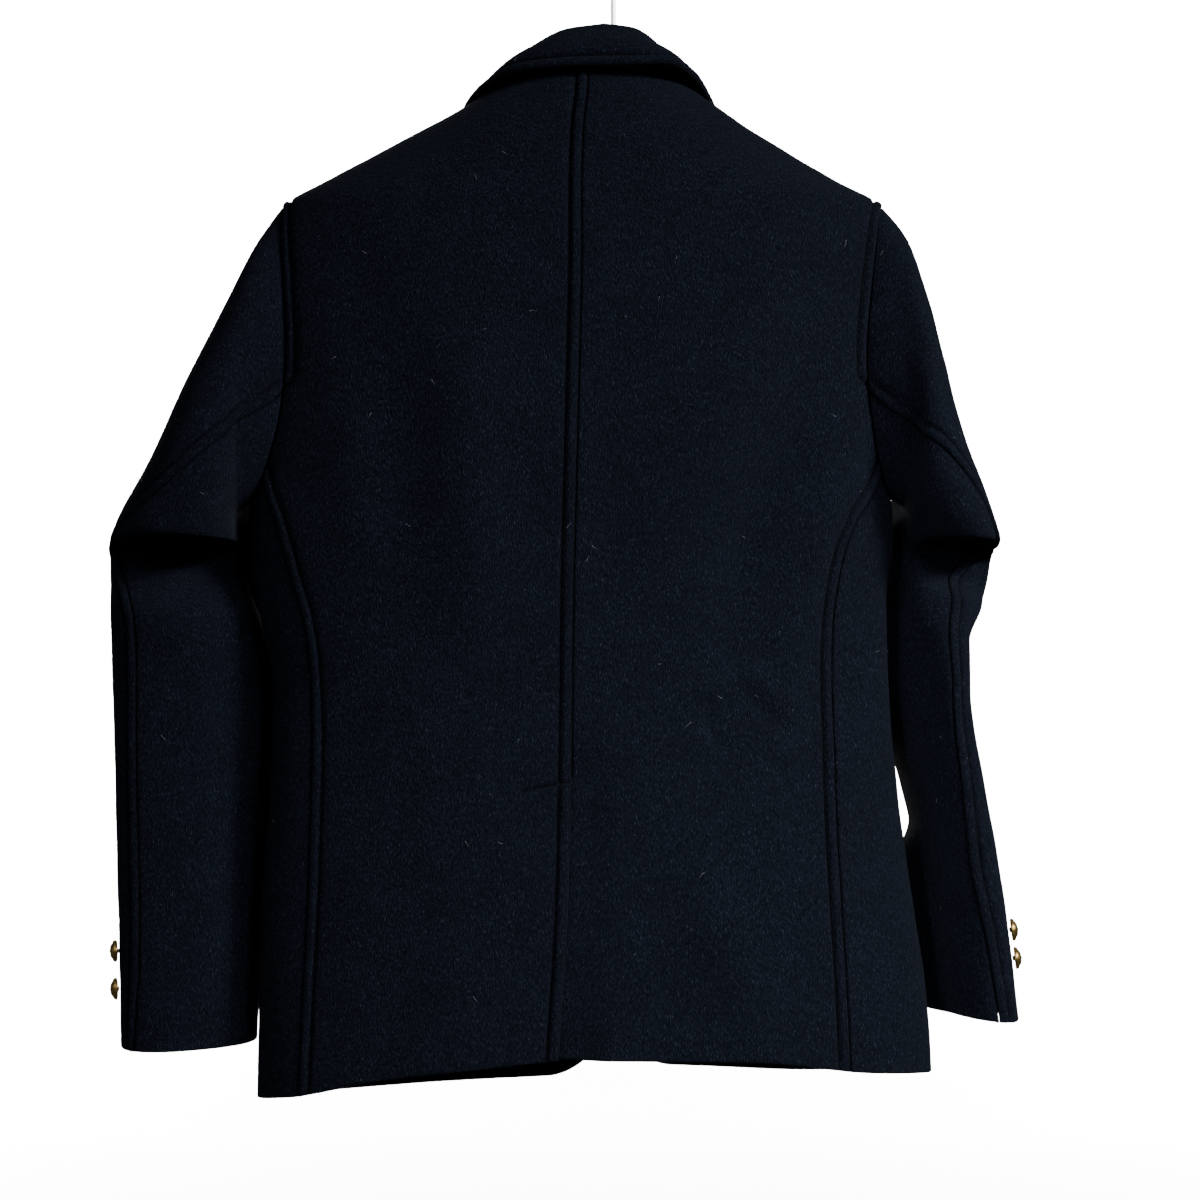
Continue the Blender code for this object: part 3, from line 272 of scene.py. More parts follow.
# The collar from the centre back, 0, to its front end, 1: where it leaves the
# neck seam in degrees, the top of its fold, and the fall's outer edge. Every x is
# out from the centre on its own side.
# along, seam, fold_x, fold_y, fold_z, edge_x, edge_y, edge_z
COLLAR = {1: np.array([
    (0.00, 0, -0.0100, 0.0300, -0.0575, 0.0000, 0.0520, -0.0908),
    (0.20, 26, 0.0150, 0.0285, -0.0610, 0.0280, 0.0500, -0.0918),
    (0.40, 52, 0.0340, 0.0215, -0.0700, 0.0560, 0.0410, -0.0938),
    (0.60, 77, 0.0480, 0.0060, -0.0800, 0.0760, 0.0230, -0.1010),
    (0.75, 114, 0.0535, -0.0120, -0.0935, 0.0880, -0.0030, -0.1050),
    (0.88, 140, 0.0530, -0.0330, -0.1140, 0.0995, -0.0320, -0.1245),
    (1.00, 156, 0.0455, -0.0490, -0.1340, 0.1095, -0.0460, -0.1475),
]), -1: np.array([
    (0.00, 0, 0.0100, 0.0300, -0.0575, 0.0000, 0.0520, -0.0908),
    (0.20, 26, 0.0300, 0.0275, -0.0600, 0.0300, 0.0510, -0.0900),
    (0.40, 52, 0.0450, 0.0190, -0.0690, 0.0560, 0.0460, -0.0880),
    (0.60, 77, 0.0530, 0.0050, -0.0800, 0.0745, 0.0240, -0.0935),
    (0.75, 114, 0.0550, -0.0120, -0.0935, 0.0875, -0.0030, -0.1045),
    (0.88, 140, 0.0530, -0.0330, -0.1140, 0.0995, -0.0320, -0.1245),
    (1.00, 156, 0.0455, -0.0490, -0.1340, 0.1095, -0.0460, -0.1475),
])}

STAND_LEAN = 0.35         # how much the stand's foot leans inwards at the sides
STAND_SUNK, STAND_DEEPER = 0.0006, 0.0030     # inside the neck at its ends, and more at the back
STAND_CLEAR = 0.0012      # and up from there, along its lean
FALL_BULGE = 0.0032       # how far the fall bulges between fold and edge
COLLAR_SWAY = 0.7         # share of the cloth's unevenness that the collar has

# How a lapel turns over at the roll line: distance beyond the line, height
# of its outer face above the front.
# beyond, height
ROLL = np.array([
    (0.0031, -0.0016),
    (0.0045, 0.0016),
    (0.0026, 0.0056),
    (-0.0030, 0.0074),
])
LAPEL_TOP = 0.006         # its head, below the front end of the neck seam
LAPEL_FOOT = {1: 0.445, -1: 0.352}            # drop of its foot
LAPEL_FLAT = 0.0065       # from the roll line to where it lies flat
LAPEL_TIP = (0.126, 0.176)                    # out from the centre, and down
LAPEL_HEEL = {1: (0.006, 0.452), -1: (-0.026, 0.445)}     # x and drop of its outer edge's foot
LAPEL_BOW, GORGE_BOW = 0.012, 0.004           # how far its outer edge and its top edge bow
LAPEL_SPRING = 0.0030     # how much higher it stands beside the roll
LAPEL_COLUMNS, LAPEL_BENT = 5, 4.2            # columns that lie flat, and where the bent ones end

FLAP_FROM, FLAP_TURN = 103, 33                # degrees to its back end, and from there to its front
FLAP_TOP, FLAP_SLANT = 0.572, 0.006           # drop of its back corner, and how far the front's is lower
FLAP_BOW, FLAP_LESS = 0.0022, 0.4             # how far its foot stands off, and less in front

# How much fuller a sleeve's inner front is than its ring: row, fullness
SLEEVE_FULL = {1: np.array([
    (0.0, 0.000),
    (1.5, 0.000),
    (2.5, 0.012),
    (3.4, 0.022),
    (4.3, 0.034),
    (5.6, 0.037),
    (6.6, 0.036),
    (7.4, 0.022),
    (8.4, 0.005),
    (12.0, 0.000),
]), -1: np.array([
    (0.0, 0.000),
    (1.5, 0.000),
    (2.5, 0.010),
    (3.4, 0.018),
    (4.3, 0.022),
    (6.1, 0.020),
    (6.6, 0.018),
    (7.4, 0.012),
    (8.2, 0.008),
    (8.8, -0.004),
    (9.2, -0.0105),
    (9.55, -0.0105),
    (9.95, 0.012),
    (11.0, 0.018),
    (12.0, 0.016),
])}

# A button's profile from the middle of its face to the middle of its shank:
# reach as a share of its radius, height over the cloth, grid lines to the next
BUTTON = np.array([
    (0.00, 0.0062, 14),
    (0.34, 0.0060, 14),
    (0.66, 0.0050, 12),
    (0.88, 0.0037, 8),
    (1.00, 0.0026, 4),
    (1.00, 0.0018, 4),
    (0.86, 0.0013, 6),
    (0.24, 0.0013, 4),
    (0.20, 0.0000, 3),
    (0.00, 0.0000, 1),
])
BUTTON_SIDES = 96
DOME_LAST, DOME_FALL = 3.5, 0.0032            # how far along the dome runs, and how much it falls
CUFF_BUTTON, FRONT_BUTTON = 0.0080, 0.0100    # radius
CUFF_BUTTONS = {1: ((11.07, -4), (11.44, -4)), -1: ((11.04, 52), (11.36, 52))}     # row, degrees
FRONT_BUTTONS = (0.492, 0.592)                # drop

LEAD_IN = 1.3             # rows over which a sleeve leaves the armhole's line
PLAIN_HEAD = 0.8          # rows over which its own creases set in
CUFF = 12                 # its last row

# Shares of a crease's length over which it rises and falls away
FOLD_RISE, FOLD_FALL = (-0.20, 0.35), (0.60, 1.20)
# Creases laid in one by one. Each runs from one place to another, bends to one
# side by a share of its length, and lifts (or, below 0, sinks) the cloth.
# behind is 1 on the back and -1 on the front.
# x, drop, to x, to drop, bend, width, height, behind
BODY_FOLDS = (
    (-0.1412, 0.2627, -0.0413, 0.4241, 0.03, 0.0212, 0.0086, 1),
    (-0.1494, 0.3311, -0.0947, 0.5041, 0.05, 0.0178, -0.0074, 1),
    (-0.1849, 0.3557, -0.1275, 0.5609, 0.04, 0.0178, 0.0062, 1),
    (0.0873, 0.2668, 0.0791, 0.4631, 0.00, 0.0260, 0.0076, 1),
    (0.1393, 0.2716, 0.1297, 0.4357, 0.00, 0.0205, -0.0032, 1),
    (0.1680, 0.3092, 0.1625, 0.4221, 0.00, 0.0178, 0.0022, 1),
    (0.0203, 0.3400, 0.0162, 0.4768, 0.00, 0.0219, 0.0016, 1),
    (-0.0180, 0.3502, -0.0146, 0.4631, 0.00, 0.0150, -0.0020, 1),
    (-0.0741, 0.5226, -0.1015, 0.5117, 0.10, 0.0055, 0.0024, 1),
    (-0.0796, 0.5308, -0.0905, 0.5636, 0.05, 0.0062, -0.0032, 1),
    (-0.1015, 0.5062, -0.1275, 0.5308, -0.08, 0.0062, 0.0028, 1),
    (-0.1097, 0.5240, -0.1439, 0.5541, 0.06, 0.0062, -0.0028, 1),
    (-0.0700, 0.5541, -0.1042, 0.5718, 0.05, 0.0075, 0.0018, 1),
    (-0.1234, 0.5623, -0.1480, 0.5965, 0.05, 0.0096, -0.0016, 1),
    (0.1297, 0.4597, 0.0921, 0.5062, 0.05, 0.0164, -0.0015, 1),
    (0.1673, 0.4734, 0.1625, 0.5691, 0.02, 0.0164, 0.0014, 1),
    (0.1283, 0.6375, 0.1324, 0.7675, 0.01, 0.0178, -0.0014, 1),
    (0.0921, 0.6307, 0.0873, 0.7709, 0.02, 0.0205, 0.0020, 1),
    (-0.0317, 0.7743, -0.0563, 0.6580, 0.04, 0.0164, -0.0026, 1),
    (-0.0755, 0.6478, -0.1179, 0.7688, -0.03, 0.0205, 0.0056, 1),
    (-0.1439, 0.7606, -0.1384, 0.6649, 0.02, 0.0150, -0.0018, 1),
    (0.1940, 0.2107, 0.1324, 0.2545, 0.05, 0.0192, -0.0020, 1),
    (-0.1863, 0.2107, -0.1234, 0.2545, -0.05, 0.0192, -0.0020, 1),
    (-0.0071, 0.5965, -0.0098, 0.6854, 0.02, 0.0096, -0.0010, 1),
    (0.1780, 0.3000, 0.0980, 0.4700, 0.05, 0.0180, 0.0026, -1),
    (0.1600, 0.3500, 0.0850, 0.5200, 0.04, 0.0160, -0.0022, -1),
    (-0.1660, 0.2900, -0.0920, 0.4550, -0.05, 0.0190, 0.0024, -1),
    (-0.1500, 0.3450, -0.0750, 0.5000, -0.03, 0.0170, -0.0023, -1),
    (0.0150, 0.4900, 0.1050, 0.4400, 0.06, 0.0120, 0.0016, -1),
    (0.0200, 0.5020, 0.1150, 0.5200, -0.05, 0.0120, -0.0015, -1),
    (0.0000, 0.5000, -0.0950, 0.4550, -0.06, 0.0120, 0.0015, -1),
    (-0.0100, 0.5120, -0.1100, 0.5450, 0.05, 0.0130, -0.0014, -1),
    (0.1200, 0.6400, 0.1280, 0.7800, 0.02, 0.0180, 0.0013, -1),
    (-0.1180, 0.6500, -0.1240, 0.7900, -0.02, 0.0190, -0.0012, -1),
    (0.0700, 0.6600, 0.0620, 0.7900, 0.02, 0.0160, -0.0010, -1),
    (-0.0700, 0.6400, -0.0660, 0.7800, 0.02, 0.0160, 0.0011, -1),
    (0.1600, 0.2350, 0.1100, 0.2900, 0.05, 0.0180, -0.0011, -1),
    (-0.1580, 0.2300, -0.1120, 0.2920, -0.05, 0.0180, -0.0012, -1),
)
SLEEVE_FOLDS = {1: (
    (0.2438, 0.2227, 0.2745, 0.3008, 0.03, 0.0153, -0.0012, 1),
    (0.2285, 0.2506, 0.2522, 0.3258, 0.03, 0.0112, 0.0010, 1),
    (0.2494, 0.4597, 0.3093, 0.4485, 0.10, 0.0063, 0.0020, 1),
    (0.2466, 0.4876, 0.3066, 0.4750, 0.12, 0.0077, -0.0016, 1),
    (0.2717, 0.5294, 0.2745, 0.6409, 0.02, 0.0125, 0.0011, 1),
    (0.2494, 0.5224, 0.2466, 0.6688, 0.02, 0.0098, -0.0012, 1),
    (0.2961, 0.5294, 0.2926, 0.6548, 0.02, 0.0112, -0.0010, 1),
    (0.2619, 0.6548, 0.2675, 0.7594, 0.02, 0.0112, 0.0010, 1),
    (0.2926, 0.6688, 0.2884, 0.7594, 0.03, 0.0098, -0.0007, 1),
    (0.3066, 0.4876, 0.2745, 0.5294, 0.08, 0.0112, -0.0010, 1),
    (0.3205, 0.3900, 0.2856, 0.3830, 0.05, 0.0070, -0.0010, 1),
    (0.3275, 0.4318, 0.2438, 0.4039, 0.08, 0.0098, 0.0020, -1),
    (0.3309, 0.4666, 0.2466, 0.4527, 0.08, 0.0098, -0.0022, -1),
    (0.3240, 0.3760, 0.2578, 0.3412, 0.06, 0.0112, -0.0016, -1),
    (0.2682, 0.5224, 0.2717, 0.6548, 0.02, 0.0125, 0.0014, -1),
    (0.2961, 0.5433, 0.2940, 0.6688, 0.02, 0.0112, -0.0012, -1),
), -1: (
    (-0.2204, 0.2283, -0.2078, 0.2729, 0.04, 0.0091, -0.0020, 1),
    (-0.2399, 0.2506, -0.2371, 0.3203, 0.05, 0.0098, 0.0018, 1),
    (-0.2148, 0.2645, -0.2483, 0.3189, -0.04, 0.0063, -0.0015, 1),
    (-0.2023, 0.3760, -0.2441, 0.4039, 0.05, 0.0112, 0.0010, 1),
    (-0.2636, 0.3900, -0.2747, 0.4290, 0.05, 0.0084, 0.0010, 1),
    (-0.2336, 0.4876, -0.2385, 0.5712, 0.02, 0.0084, -0.0030, 1),
    (-0.2510, 0.4876, -0.2594, 0.5851, 0.02, 0.0063, 0.0034, 1),
    (-0.2650, 0.4876, -0.2720, 0.5712, 0.03, 0.0084, -0.0010, 1),
    (-0.2427, 0.5782, -0.2483, 0.6897, 0.02, 0.0091, -0.0026, 1),
    (-0.2622, 0.5921, -0.2747, 0.6932, 0.01, 0.0070, 0.0030, 1),
    (-0.2510, 0.6688, -0.2594, 0.7385, 0.02, 0.0091, 0.0009, 1),
    (-0.2441, 0.4597, -0.2831, 0.4513, 0.10, 0.0063, 0.0014, 1),
    (-0.2162, 0.4318, -0.2789, 0.4178, 0.08, 0.0098, 0.0020, -1),
    (-0.2267, 0.4666, -0.2754, 0.4597, 0.08, 0.0091, -0.0020, -1),
    (-0.2162, 0.3412, -0.2615, 0.3691, 0.06, 0.0112, -0.0016, -1),
    (-0.2510, 0.5294, -0.2594, 0.6688, 0.02, 0.0105, 0.0013, -1),
)}


def slopes(xs, ys):
    """Slopes of a smooth curve through the points that never overshoots them:
    the harmonic mean of the rises either side, or 0 where they disagree."""
    rise = np.diff(ys) / np.diff(xs)
    slope = np.concatenate([rise[:1], np.zeros(len(xs) - 2), rise[-1:]])
    agree = rise[:-1] * rise[1:] > 0
    product = 2 * rise[:-1] * rise[1:]
    total = rise[:-1] + rise[1:]
    slope[1:-1][agree] = product[agree] / total[agree]
    return slope


def follow(table, column, at):
    """A table's column as a smooth curve over its first column: cubic pieces
    that have the points' own values and slopes at their ends."""
    xs, ys = table[:, 0], table[:, column]
    at = np.clip(np.asarray(at, dtype=float), xs[0], xs[-1])
    slope = slopes(xs, ys)
    low = np.clip(np.searchsorted(xs, at, side="right") - 1, 0, len(xs) - 2)
    width = xs[low + 1] - xs[low]
    t = (at - xs[low]) / width
    start = (1 + 2 * t) * (1 - t) ** 2 * ys[low] + t * (1 - t) ** 2 * width * slope[low]
    end = t * t * (3 - 2 * t) * ys[low + 1] - t * t * (1 - t) * width * slope[low + 1]
    return start + end


def own(side):
    """The column of one side in a table that has the left's values in column 1
    and the right's in column 2."""
    return 1 if side > 0 else 2


def label(side):
    """The side's name, as the wearer has it."""
    return "left" if side > 0 else "right"


def ease(low, high, at):
    """0 below low, 1 above high, and a soft step between them."""
    t = np.clip((at - low) / (high - low), 0, 1)
    return t * t * (3 - 2 * t)


def bell(off, width):
    """1 at no distance, falling away either side: e to the power of minus the
    square of off over width."""
    return np.exp(-(off / width) ** 2)


def unit(vectors):
    """The same directions, each made one long."""
    return vectors / np.linalg.norm(vectors, axis=-1, keepdims=True)


def square_to(axis, vectors):
    """The part of each vector that is square to an axis, made one long."""
    return unit(vectors - (vectors * axis).sum(-1, keepdims=True) * axis)


def lengths(places):
    """How far along a line of points each one lies."""
    return np.concatenate([[0], np.cumsum(np.linalg.norm(np.diff(places, axis=0), axis=1))])


def rounded(angle, power):
    """Sine and cosine of an angle on a squared circle: both are scaled so that
    their powers add up to 1."""
    sine, cosine = np.sin(angle), np.cos(angle)
    radius = (np.abs(sine) ** power + np.abs(cosine) ** power) ** (-1 / power)
    return sine * radius, cosine * radius


def body(degrees, drop):
    """A point of the body's tube: round from the centre back, and down. Each
    section is a squared ellipse whose centre lines are moved sideways by the
    square of how far back or front the point is."""
    degrees, drop = np.broadcast_arrays(np.asarray(degrees, float), np.asarray(drop, float))
    left, right = follow(BODY, 1, drop), follow(BODY, 2, drop)
    across, deep = rounded(np.radians(degrees), follow(BODY, 7, drop))
    middle = (left + right) / 2
    behind = deep > 0
    centre = np.where(behind, follow(BODY, 3, drop), follow(BODY, 4, drop))
    depth = np.where(behind, follow(BODY, 5, drop), -follow(BODY, 6, drop))
    x = middle + (left - right) / 2 * across + (centre - middle) * deep ** 2
    return np.stack([x, depth * deep, -drop], axis=-1)


def body_normal(degrees, drop):
    """The body's outward direction, from its slopes either way."""
    turn, step = 0.4, 0.0008
    around = body(degrees + turn, drop) - body(degrees - turn, drop)
    up = body(degrees, drop - step) - body(degrees, drop + step)
    return unit(np.cross(up, around))


def on_body(degrees, drop, out=0.0):
    """A point held off the body by out, along its outward direction."""
    out = np.asarray(out, float)[..., None] if np.ndim(out) else out
    return body(degrees, drop) + out * body_normal(degrees, drop)


def degrees_at(side, x, drop, front):
    """The angle at which the body's section passes x, behind or in front: the
    body's formula turned round, in a few rounds of putting the depth back in."""
    left, right = follow(BODY, 1, drop), follow(BODY, 2, drop)
    power = follow(BODY, 7, drop)
    middle = (left + right) / 2
    centre = follow(BODY, 4 if front else 3, drop)
    deep = np.zeros_like(middle + x)
    for _ in range(12):
        across = np.clip((x - middle - (centre - middle) * deep ** 2) / ((left - right) / 2), -1, 1)
        deep = (1 - np.abs(across) ** power) ** (1 / power)
    angle = np.degrees(np.arctan2(across, -deep if front else deep))
    past = front & (angle * side < 0)
    return np.where(past, angle + 360 * side, angle)


def placed(side, xs, drops, front):
    """Places on the body, given across and down, as angles and drops."""
    return np.stack([degrees_at(side, xs, drops, front), drops], -1)


def armhole(side, clock):
    """Angle and drop on the armhole line. The clock runs from the shoulder
    point, 0, down the back to the underarm, 180, and up the front."""
    top, bottom = ARMHOLE[side]
    turn = np.sin(np.radians(clock))
    reach = ARMHOLE_REACH * np.sign(turn) * np.abs(turn) ** ARMHOLE_ROUND
    drop = (top + bottom) / 2 - (bottom - top) / 2 * np.cos(np.radians(clock))
    return np.stack([side * (90 - reach), drop], axis=-1)


# The armhole's clock readings where panels and sleeves have their vertices
BACK_CLOCK = np.concatenate([np.linspace(146, 103, 4)[:-1], np.linspace(103, 0, 6)])
UNDER_CLOCK = np.linspace(146, 214, 5)
FRONT_CLOCK = np.concatenate([np.linspace(214, 235, 3)[:-1], np.linspace(235, 360, 7)])
LOW_ROWS, HIGH_ROWS, VENT_STEPS = 10, 8, 5      # below the underarm, above it, along the vent
NECK_COLUMNS, SHOULDER_COLUMNS, NECK_ROWS = 6, 7, 5
SIDE_COLUMNS = len(UNDER_CLOCK) - 1
# Rows of a back or front, counted from the hem, at which stitches end or start
SIDE_SEWN = LOW_ROWS + 0.1                    # up to here beside the side seam
BACK_ARM_SEWN, FRONT_ARM_SEWN = LOW_ROWS + 3.15, LOW_ROWS + 3.0     # from here up the armhole
EDGE_SEWN = 7.4           # up to here beside the front edge


def spread(points, count):
    """Points at even lengths on the body along a line of angles and drops."""
    points = np.asarray(points, float)
    length = lengths(body(points[:, 0], points[:, 1]))
    at = np.linspace(0, length[-1], count + 1)
    return np.stack([np.interp(at, length, points[:, 0]), np.interp(at, length, points[:, 1])], -1)


def join(*lines):
    """One line from several, each starting where the last one ended."""
    return np.concatenate([lines[0]] + [line[1:] for line in lines[1:]])


def sample(line, at):
    """A line's points at fractions of its own steps."""
    steps = np.linspace(0, 1, len(line))
    return np.stack([np.interp(at, steps, column) for column in line.T], -1)


def patch(bottom, top, start, end, across, up):
    """A grid between four edges: bottom and top, and the rows' two ends. Each
    point is the blend of the two edges either way, less that of the corners."""
    bottom, top = sample(bottom, across), sample(top, across)
    start, end = sample(start, up), sample(end, up)
    u, v = across[None, :, None], up[:, None, None]
    along = (1 - v) * bottom[None] + v * top[None]
    sideways = (1 - u) * start[:, None] + u * end[:, None]
    corners = ((1 - u) * (1 - v) * bottom[0] + u * (1 - v) * bottom[-1]
               + (1 - u) * v * top[0] + u * v * top[-1])
    return along + sideways - corners


def flat(turn, drop, front):
    """Width of the cloth laid flat, from a centre line to a place round the
    body: its distance across plus its distance in depth. turn is the angle
    from the centre back towards the place's own side."""
    across, deep = rounded(np.radians(turn), follow(BODY, 7, drop))
    half = (follow(BODY, 1, drop) - follow(BODY, 2, drop)) / 2
    depth = -follow(BODY, 6, drop) if front else follow(BODY, 5, drop)
    return half * across + depth * (1 - np.abs(deep))


def patch_flat(side, front, edges, across, up):
    """The same grid between edges of angles and drops, worked out on the flat.
    The angles are found again by halving the range they can lie in."""
    laid = [np.stack([flat(side * edge[:, 0], edge[:, 1], front), edge[:, 1]], -1) for edge in edges]
    grid = patch(*laid, across, up)
    near = np.full(grid.shape[:2], 200.0 if front else -20.0)
    far = np.full(grid.shape[:2], 90.0)
    for _ in range(34):
        turn = (near + far) / 2
        short = flat(turn, grid[..., 1], front) < grid[..., 0]
        near, far = np.where(short, turn, near), np.where(short, far, turn)
    return np.stack([side * near, grid[..., 1]], -1)


def inwards(points, place, beside):
    """Directions from a grid's edge in to the line beside it, square to the edge."""
    tangent = unit(np.gradient(points[place], axis=0))
    return square_to(tangent, points[beside] - points[place])


def draw_in(points):
    """Move a grid's edge points off their seam lines, square to the line."""
    moved = points.copy()
    for place, beside in EDGES:
        moved[place] += SEAM * inwards(points, place, beside)
    return moved


def with_allowance(inner, joined):
    """Run the inner face a little past each seam, so that no light shows
    through it: edge points move outwards, square to the edge."""
    moved = inner.copy()
    for edge, far in joined:
        moved[EDGES[edge][0]] -= far * inwards(inner, *EDGES[edge])
    return moved


def grid_normals(points):
    """The grid's own normals, from its neighbours in both directions."""
    return unit(np.cross(np.gradient(points, axis=1), np.gradient(points, axis=0)))


def grown(clock):
    """The same clock readings with FINE steps between each two."""
    return np.interp(np.arange((len(clock) - 1) * FINE + 1) / FINE, np.arange(len(clock)), clock)


def crowd(length, first, last, coarse=COARSE):
    """Fractions of a length for a grid's lines: close together near the two
    ends, closer still round the stitching where an end is sewn."""
    start = np.array(SEWN_STEPS if first else PLAIN_STEPS)
    stop = length - np.array(SEWN_STEPS if last else PLAIN_STEPS)[::-1]
    count = max(2, math.ceil((stop[0] - start[-1]) / coarse))
    middle = np.linspace(start[-1], stop[0], count + 1)[1:-1]
    return np.concatenate([start, middle, stop]) / length


def read_off(table, column, degrees):
    """A line of angles and drops, the drops read from a table at the angles."""
    return np.stack([degrees, follow(table, column, np.abs(degrees))], -1)


def hem_drop(side, degrees):
    """How far down the hem lies at an angle."""
    return follow(HEM, own(side), np.abs(degrees))


def side_back_line(side):
    """The seam from the hem up to the armhole, as angles and drops."""
    foot = degrees_at(side, SIDE_BACK[-1, own(side)], SIDE_FOOT, False)
    drops = np.linspace(hem_drop(side, foot), SIDE_BACK[0, 0], 200)
    line = placed(side, follow(SIDE_BACK, own(side), drops), drops, False)
    return spread(np.concatenate([line, [armhole(side, UNDER_CLOCK[0])]]), LOW_ROWS * FINE)


def side_front_line(side):
    """From the hem straight up to the waist, and from there to the armhole."""
    foot = (side * SIDE_FRONT, hem_drop(side, SIDE_FRONT))
    waist = (side * SIDE_FRONT, WAIST)
    return spread([foot, waist, armhole(side, UNDER_CLOCK[-1])], LOW_ROWS * FINE)


def shoulder_line(side):
    """From the neck seam out along the shoulder's ridge."""
    ends = [(side * 90, NECK[2, 1]), (side * 90, ARMHOLE[side][0])]
    return spread(ends, SHOULDER_COLUMNS * FINE)


def centre_back_line(side):
    """Rows of the centre back seam, with two at the top of the vent. The right
    back runs on past the seam below it, to lie under the left one."""
    low = np.linspace(hem_drop(1, 0), VENT_TOP + VENT_ENDS[0], VENT_STEPS + 1)
    high = np.linspace(VENT_TOP - VENT_ENDS[1], NECK[0, 1], LOW_ROWS + HIGH_ROWS - VENT_STEPS)
    past = np.concatenate([np.full(len(low), VENT_LAP if side < 0 else 0.0), np.zeros(len(high))])
    return np.stack([grown(past), grown(np.concatenate([low, high]))], -1)


def vent_step(degrees, drop):
    """How far the right back sinks to pass under the left one at the vent: the
    product of a soft step round the body and one down it."""
    down = ease(VENT_TOP - VENT_FADE[0], VENT_TOP - VENT_FADE[1], drop)
    return -(LAPPED + VENT_DEEPER) * ease(*VENT_SINK, degrees) * down


def roll_x(side, drop):
    """Where a front's roll line runs, straight from the neck seam to the break."""
    top, foot = side * ROLL_TOP, FRONT_EDGE[0, own(side)]
    return top + (foot - top) * (drop - NECK[-1, 1]) / (FRONT_EDGE[0, 0] - NECK[-1, 1])


def front_edge_x(side, drop):
    """A front's edge: the roll line above the break, its table below it."""
    below = follow(FRONT_EDGE, own(side), drop)
    return np.where(drop < FRONT_EDGE[0, 0], roll_x(side, drop), below)


def front_lap(side, x, drop):
    """How far the left front stands off where it lies over the right one: a
    soft step that ends some way to the left of the centre line."""
    centre = follow(BODY, 4, drop)
    return LAPPED * (1 - ease(*LAP_FADE, x - centre)) if side > 0 else np.zeros_like(x)


def nearest(points, line):
    """Distance from every point to a line of short pieces: the least of the
    distances to each piece, with the foot kept between the piece's two ends.
    Also how far along the line that foot is."""
    run = np.diff(line, axis=0)
    length = np.linalg.norm(run, axis=1)
    before = np.cumsum(length) - length
    listed = points.reshape(-1, 3)
    distance, along = np.empty(len(listed)), np.empty(len(listed))
    for part in np.array_split(np.arange(len(listed)), max(1, len(listed) // AT_ONCE)):
        gap = listed[part, None] - line[None, :-1]
        t = np.clip((gap * run).sum(-1) / length ** 2, 0, 1)
        far = np.linalg.norm(gap - t[..., None] * run, axis=-1)
        pick = far.argmin(1)
        place = np.arange(len(part)), pick
        distance[part] = far[place]
        along[part] = before[pick] + t[place] * length[pick]
    return distance.reshape(points.shape[:-1]), along.reshape(points.shape[:-1])


def folds(points, normals, table):
    """How far creases lift the cloth: for each one its height, times a bell
    across it, times a soft rise and fall along it, times how squarely the
    cloth faces back or front."""
    x, drop = points[..., 0], -points[..., 2]
    lift = np.zeros(x.shape)
    for x0, drop0, x1, drop1, bend, width, height, behind in table:
        run = np.array([x1 - x0, drop1 - drop0])
        length = np.linalg.norm(run)
        along = ((x - x0) * run[0] + (drop - drop0) * run[1]) / length ** 2
        inside = np.clip(along, 0, 1)
        across = ((x - x0) * run[1] - (drop - drop0) * run[0]) / length
        across = across - 4 * bend * length * inside * (1 - inside)
        lasting = ease(*FOLD_RISE, along) * (1 - ease(*FOLD_FALL, along))
        lift += height * lasting * bell(across, width) * np.clip(behind * normals[..., 1], 0, 1)
    return lift


def sway(points):
    """A slight unevenness all over: a sum of long waves across and down,
    none of them in step with another."""
    x, y, z = points[..., 0], points[..., 1], points[..., 2]
    return (0.00035 * np.sin(61 * x + 23 * z + 1.3) + 0.00030 * np.sin(37 * z - 48 * x + 40 * y + 0.4)
            + 0.00022 * np.sin(97 * x + 71 * z + 2.2) * np.sin(53 * z - 31 * y))


def sewn_relief(distance, along, seed):
    """Relief beside a stitched seam: a band lifted as a sine from the seam to
    the stitches, a narrow bell cut at the stitches, and puckers that run
    square to the seam and fade away from the stitches."""
    band = BAND * np.sin(math.pi * np.clip(distance / STITCH_IN, 0, 1)) ** 0.7
    cut = -PULL * bell(distance - STITCH_IN, PULL_WIDTH)
    wave = (np.sin(along / 0.0021 + seed) + 0.8 * np.sin(along / 0.0034 + 2.1 * seed)
            + 0.7 * np.sin(along / 0.0057 + 0.6 * seed)) / 2.5
    return band + cut + PUCKER * wave * bell(distance - STITCH_IN, PUCKER_WIDTH)


def turned_down(distance):
    """How far an edge rolls over: a quarter circle of radius TURNED."""
    inward = np.clip(TURNED - distance, 0, TURNED)
    return TURNED - np.sqrt(TURNED ** 2 - inward ** 2)


def stitch_path(points, normals, distance, edge, rows):
    """Where a row of stitches lies: on each row of the grid the place at which
    the distance from the sewn edge first reaches STITCH_IN."""
    if edge == END:
        points, normals, distance = points[:, ::-1], normals[:, ::-1], distance[:, ::-1]
    points, normals, distance = points[rows], normals[rows], distance[rows]
    past = np.argmax(distance >= STITCH_IN, axis=1)
    keep = past > 0
    index, past = np.arange(len(past))[keep], past[keep]
    low, high = distance[index, past - 1], distance[index, past]
    share = ((STITCH_IN - low) / (high - low))[:, None]
    place = (1 - share) * points[index, past - 1] + share * points[index, past]
    upright = (1 - share) * normals[index, past - 1] + share * normals[index, past]
    STITCHES.append((place, unit(upright)))


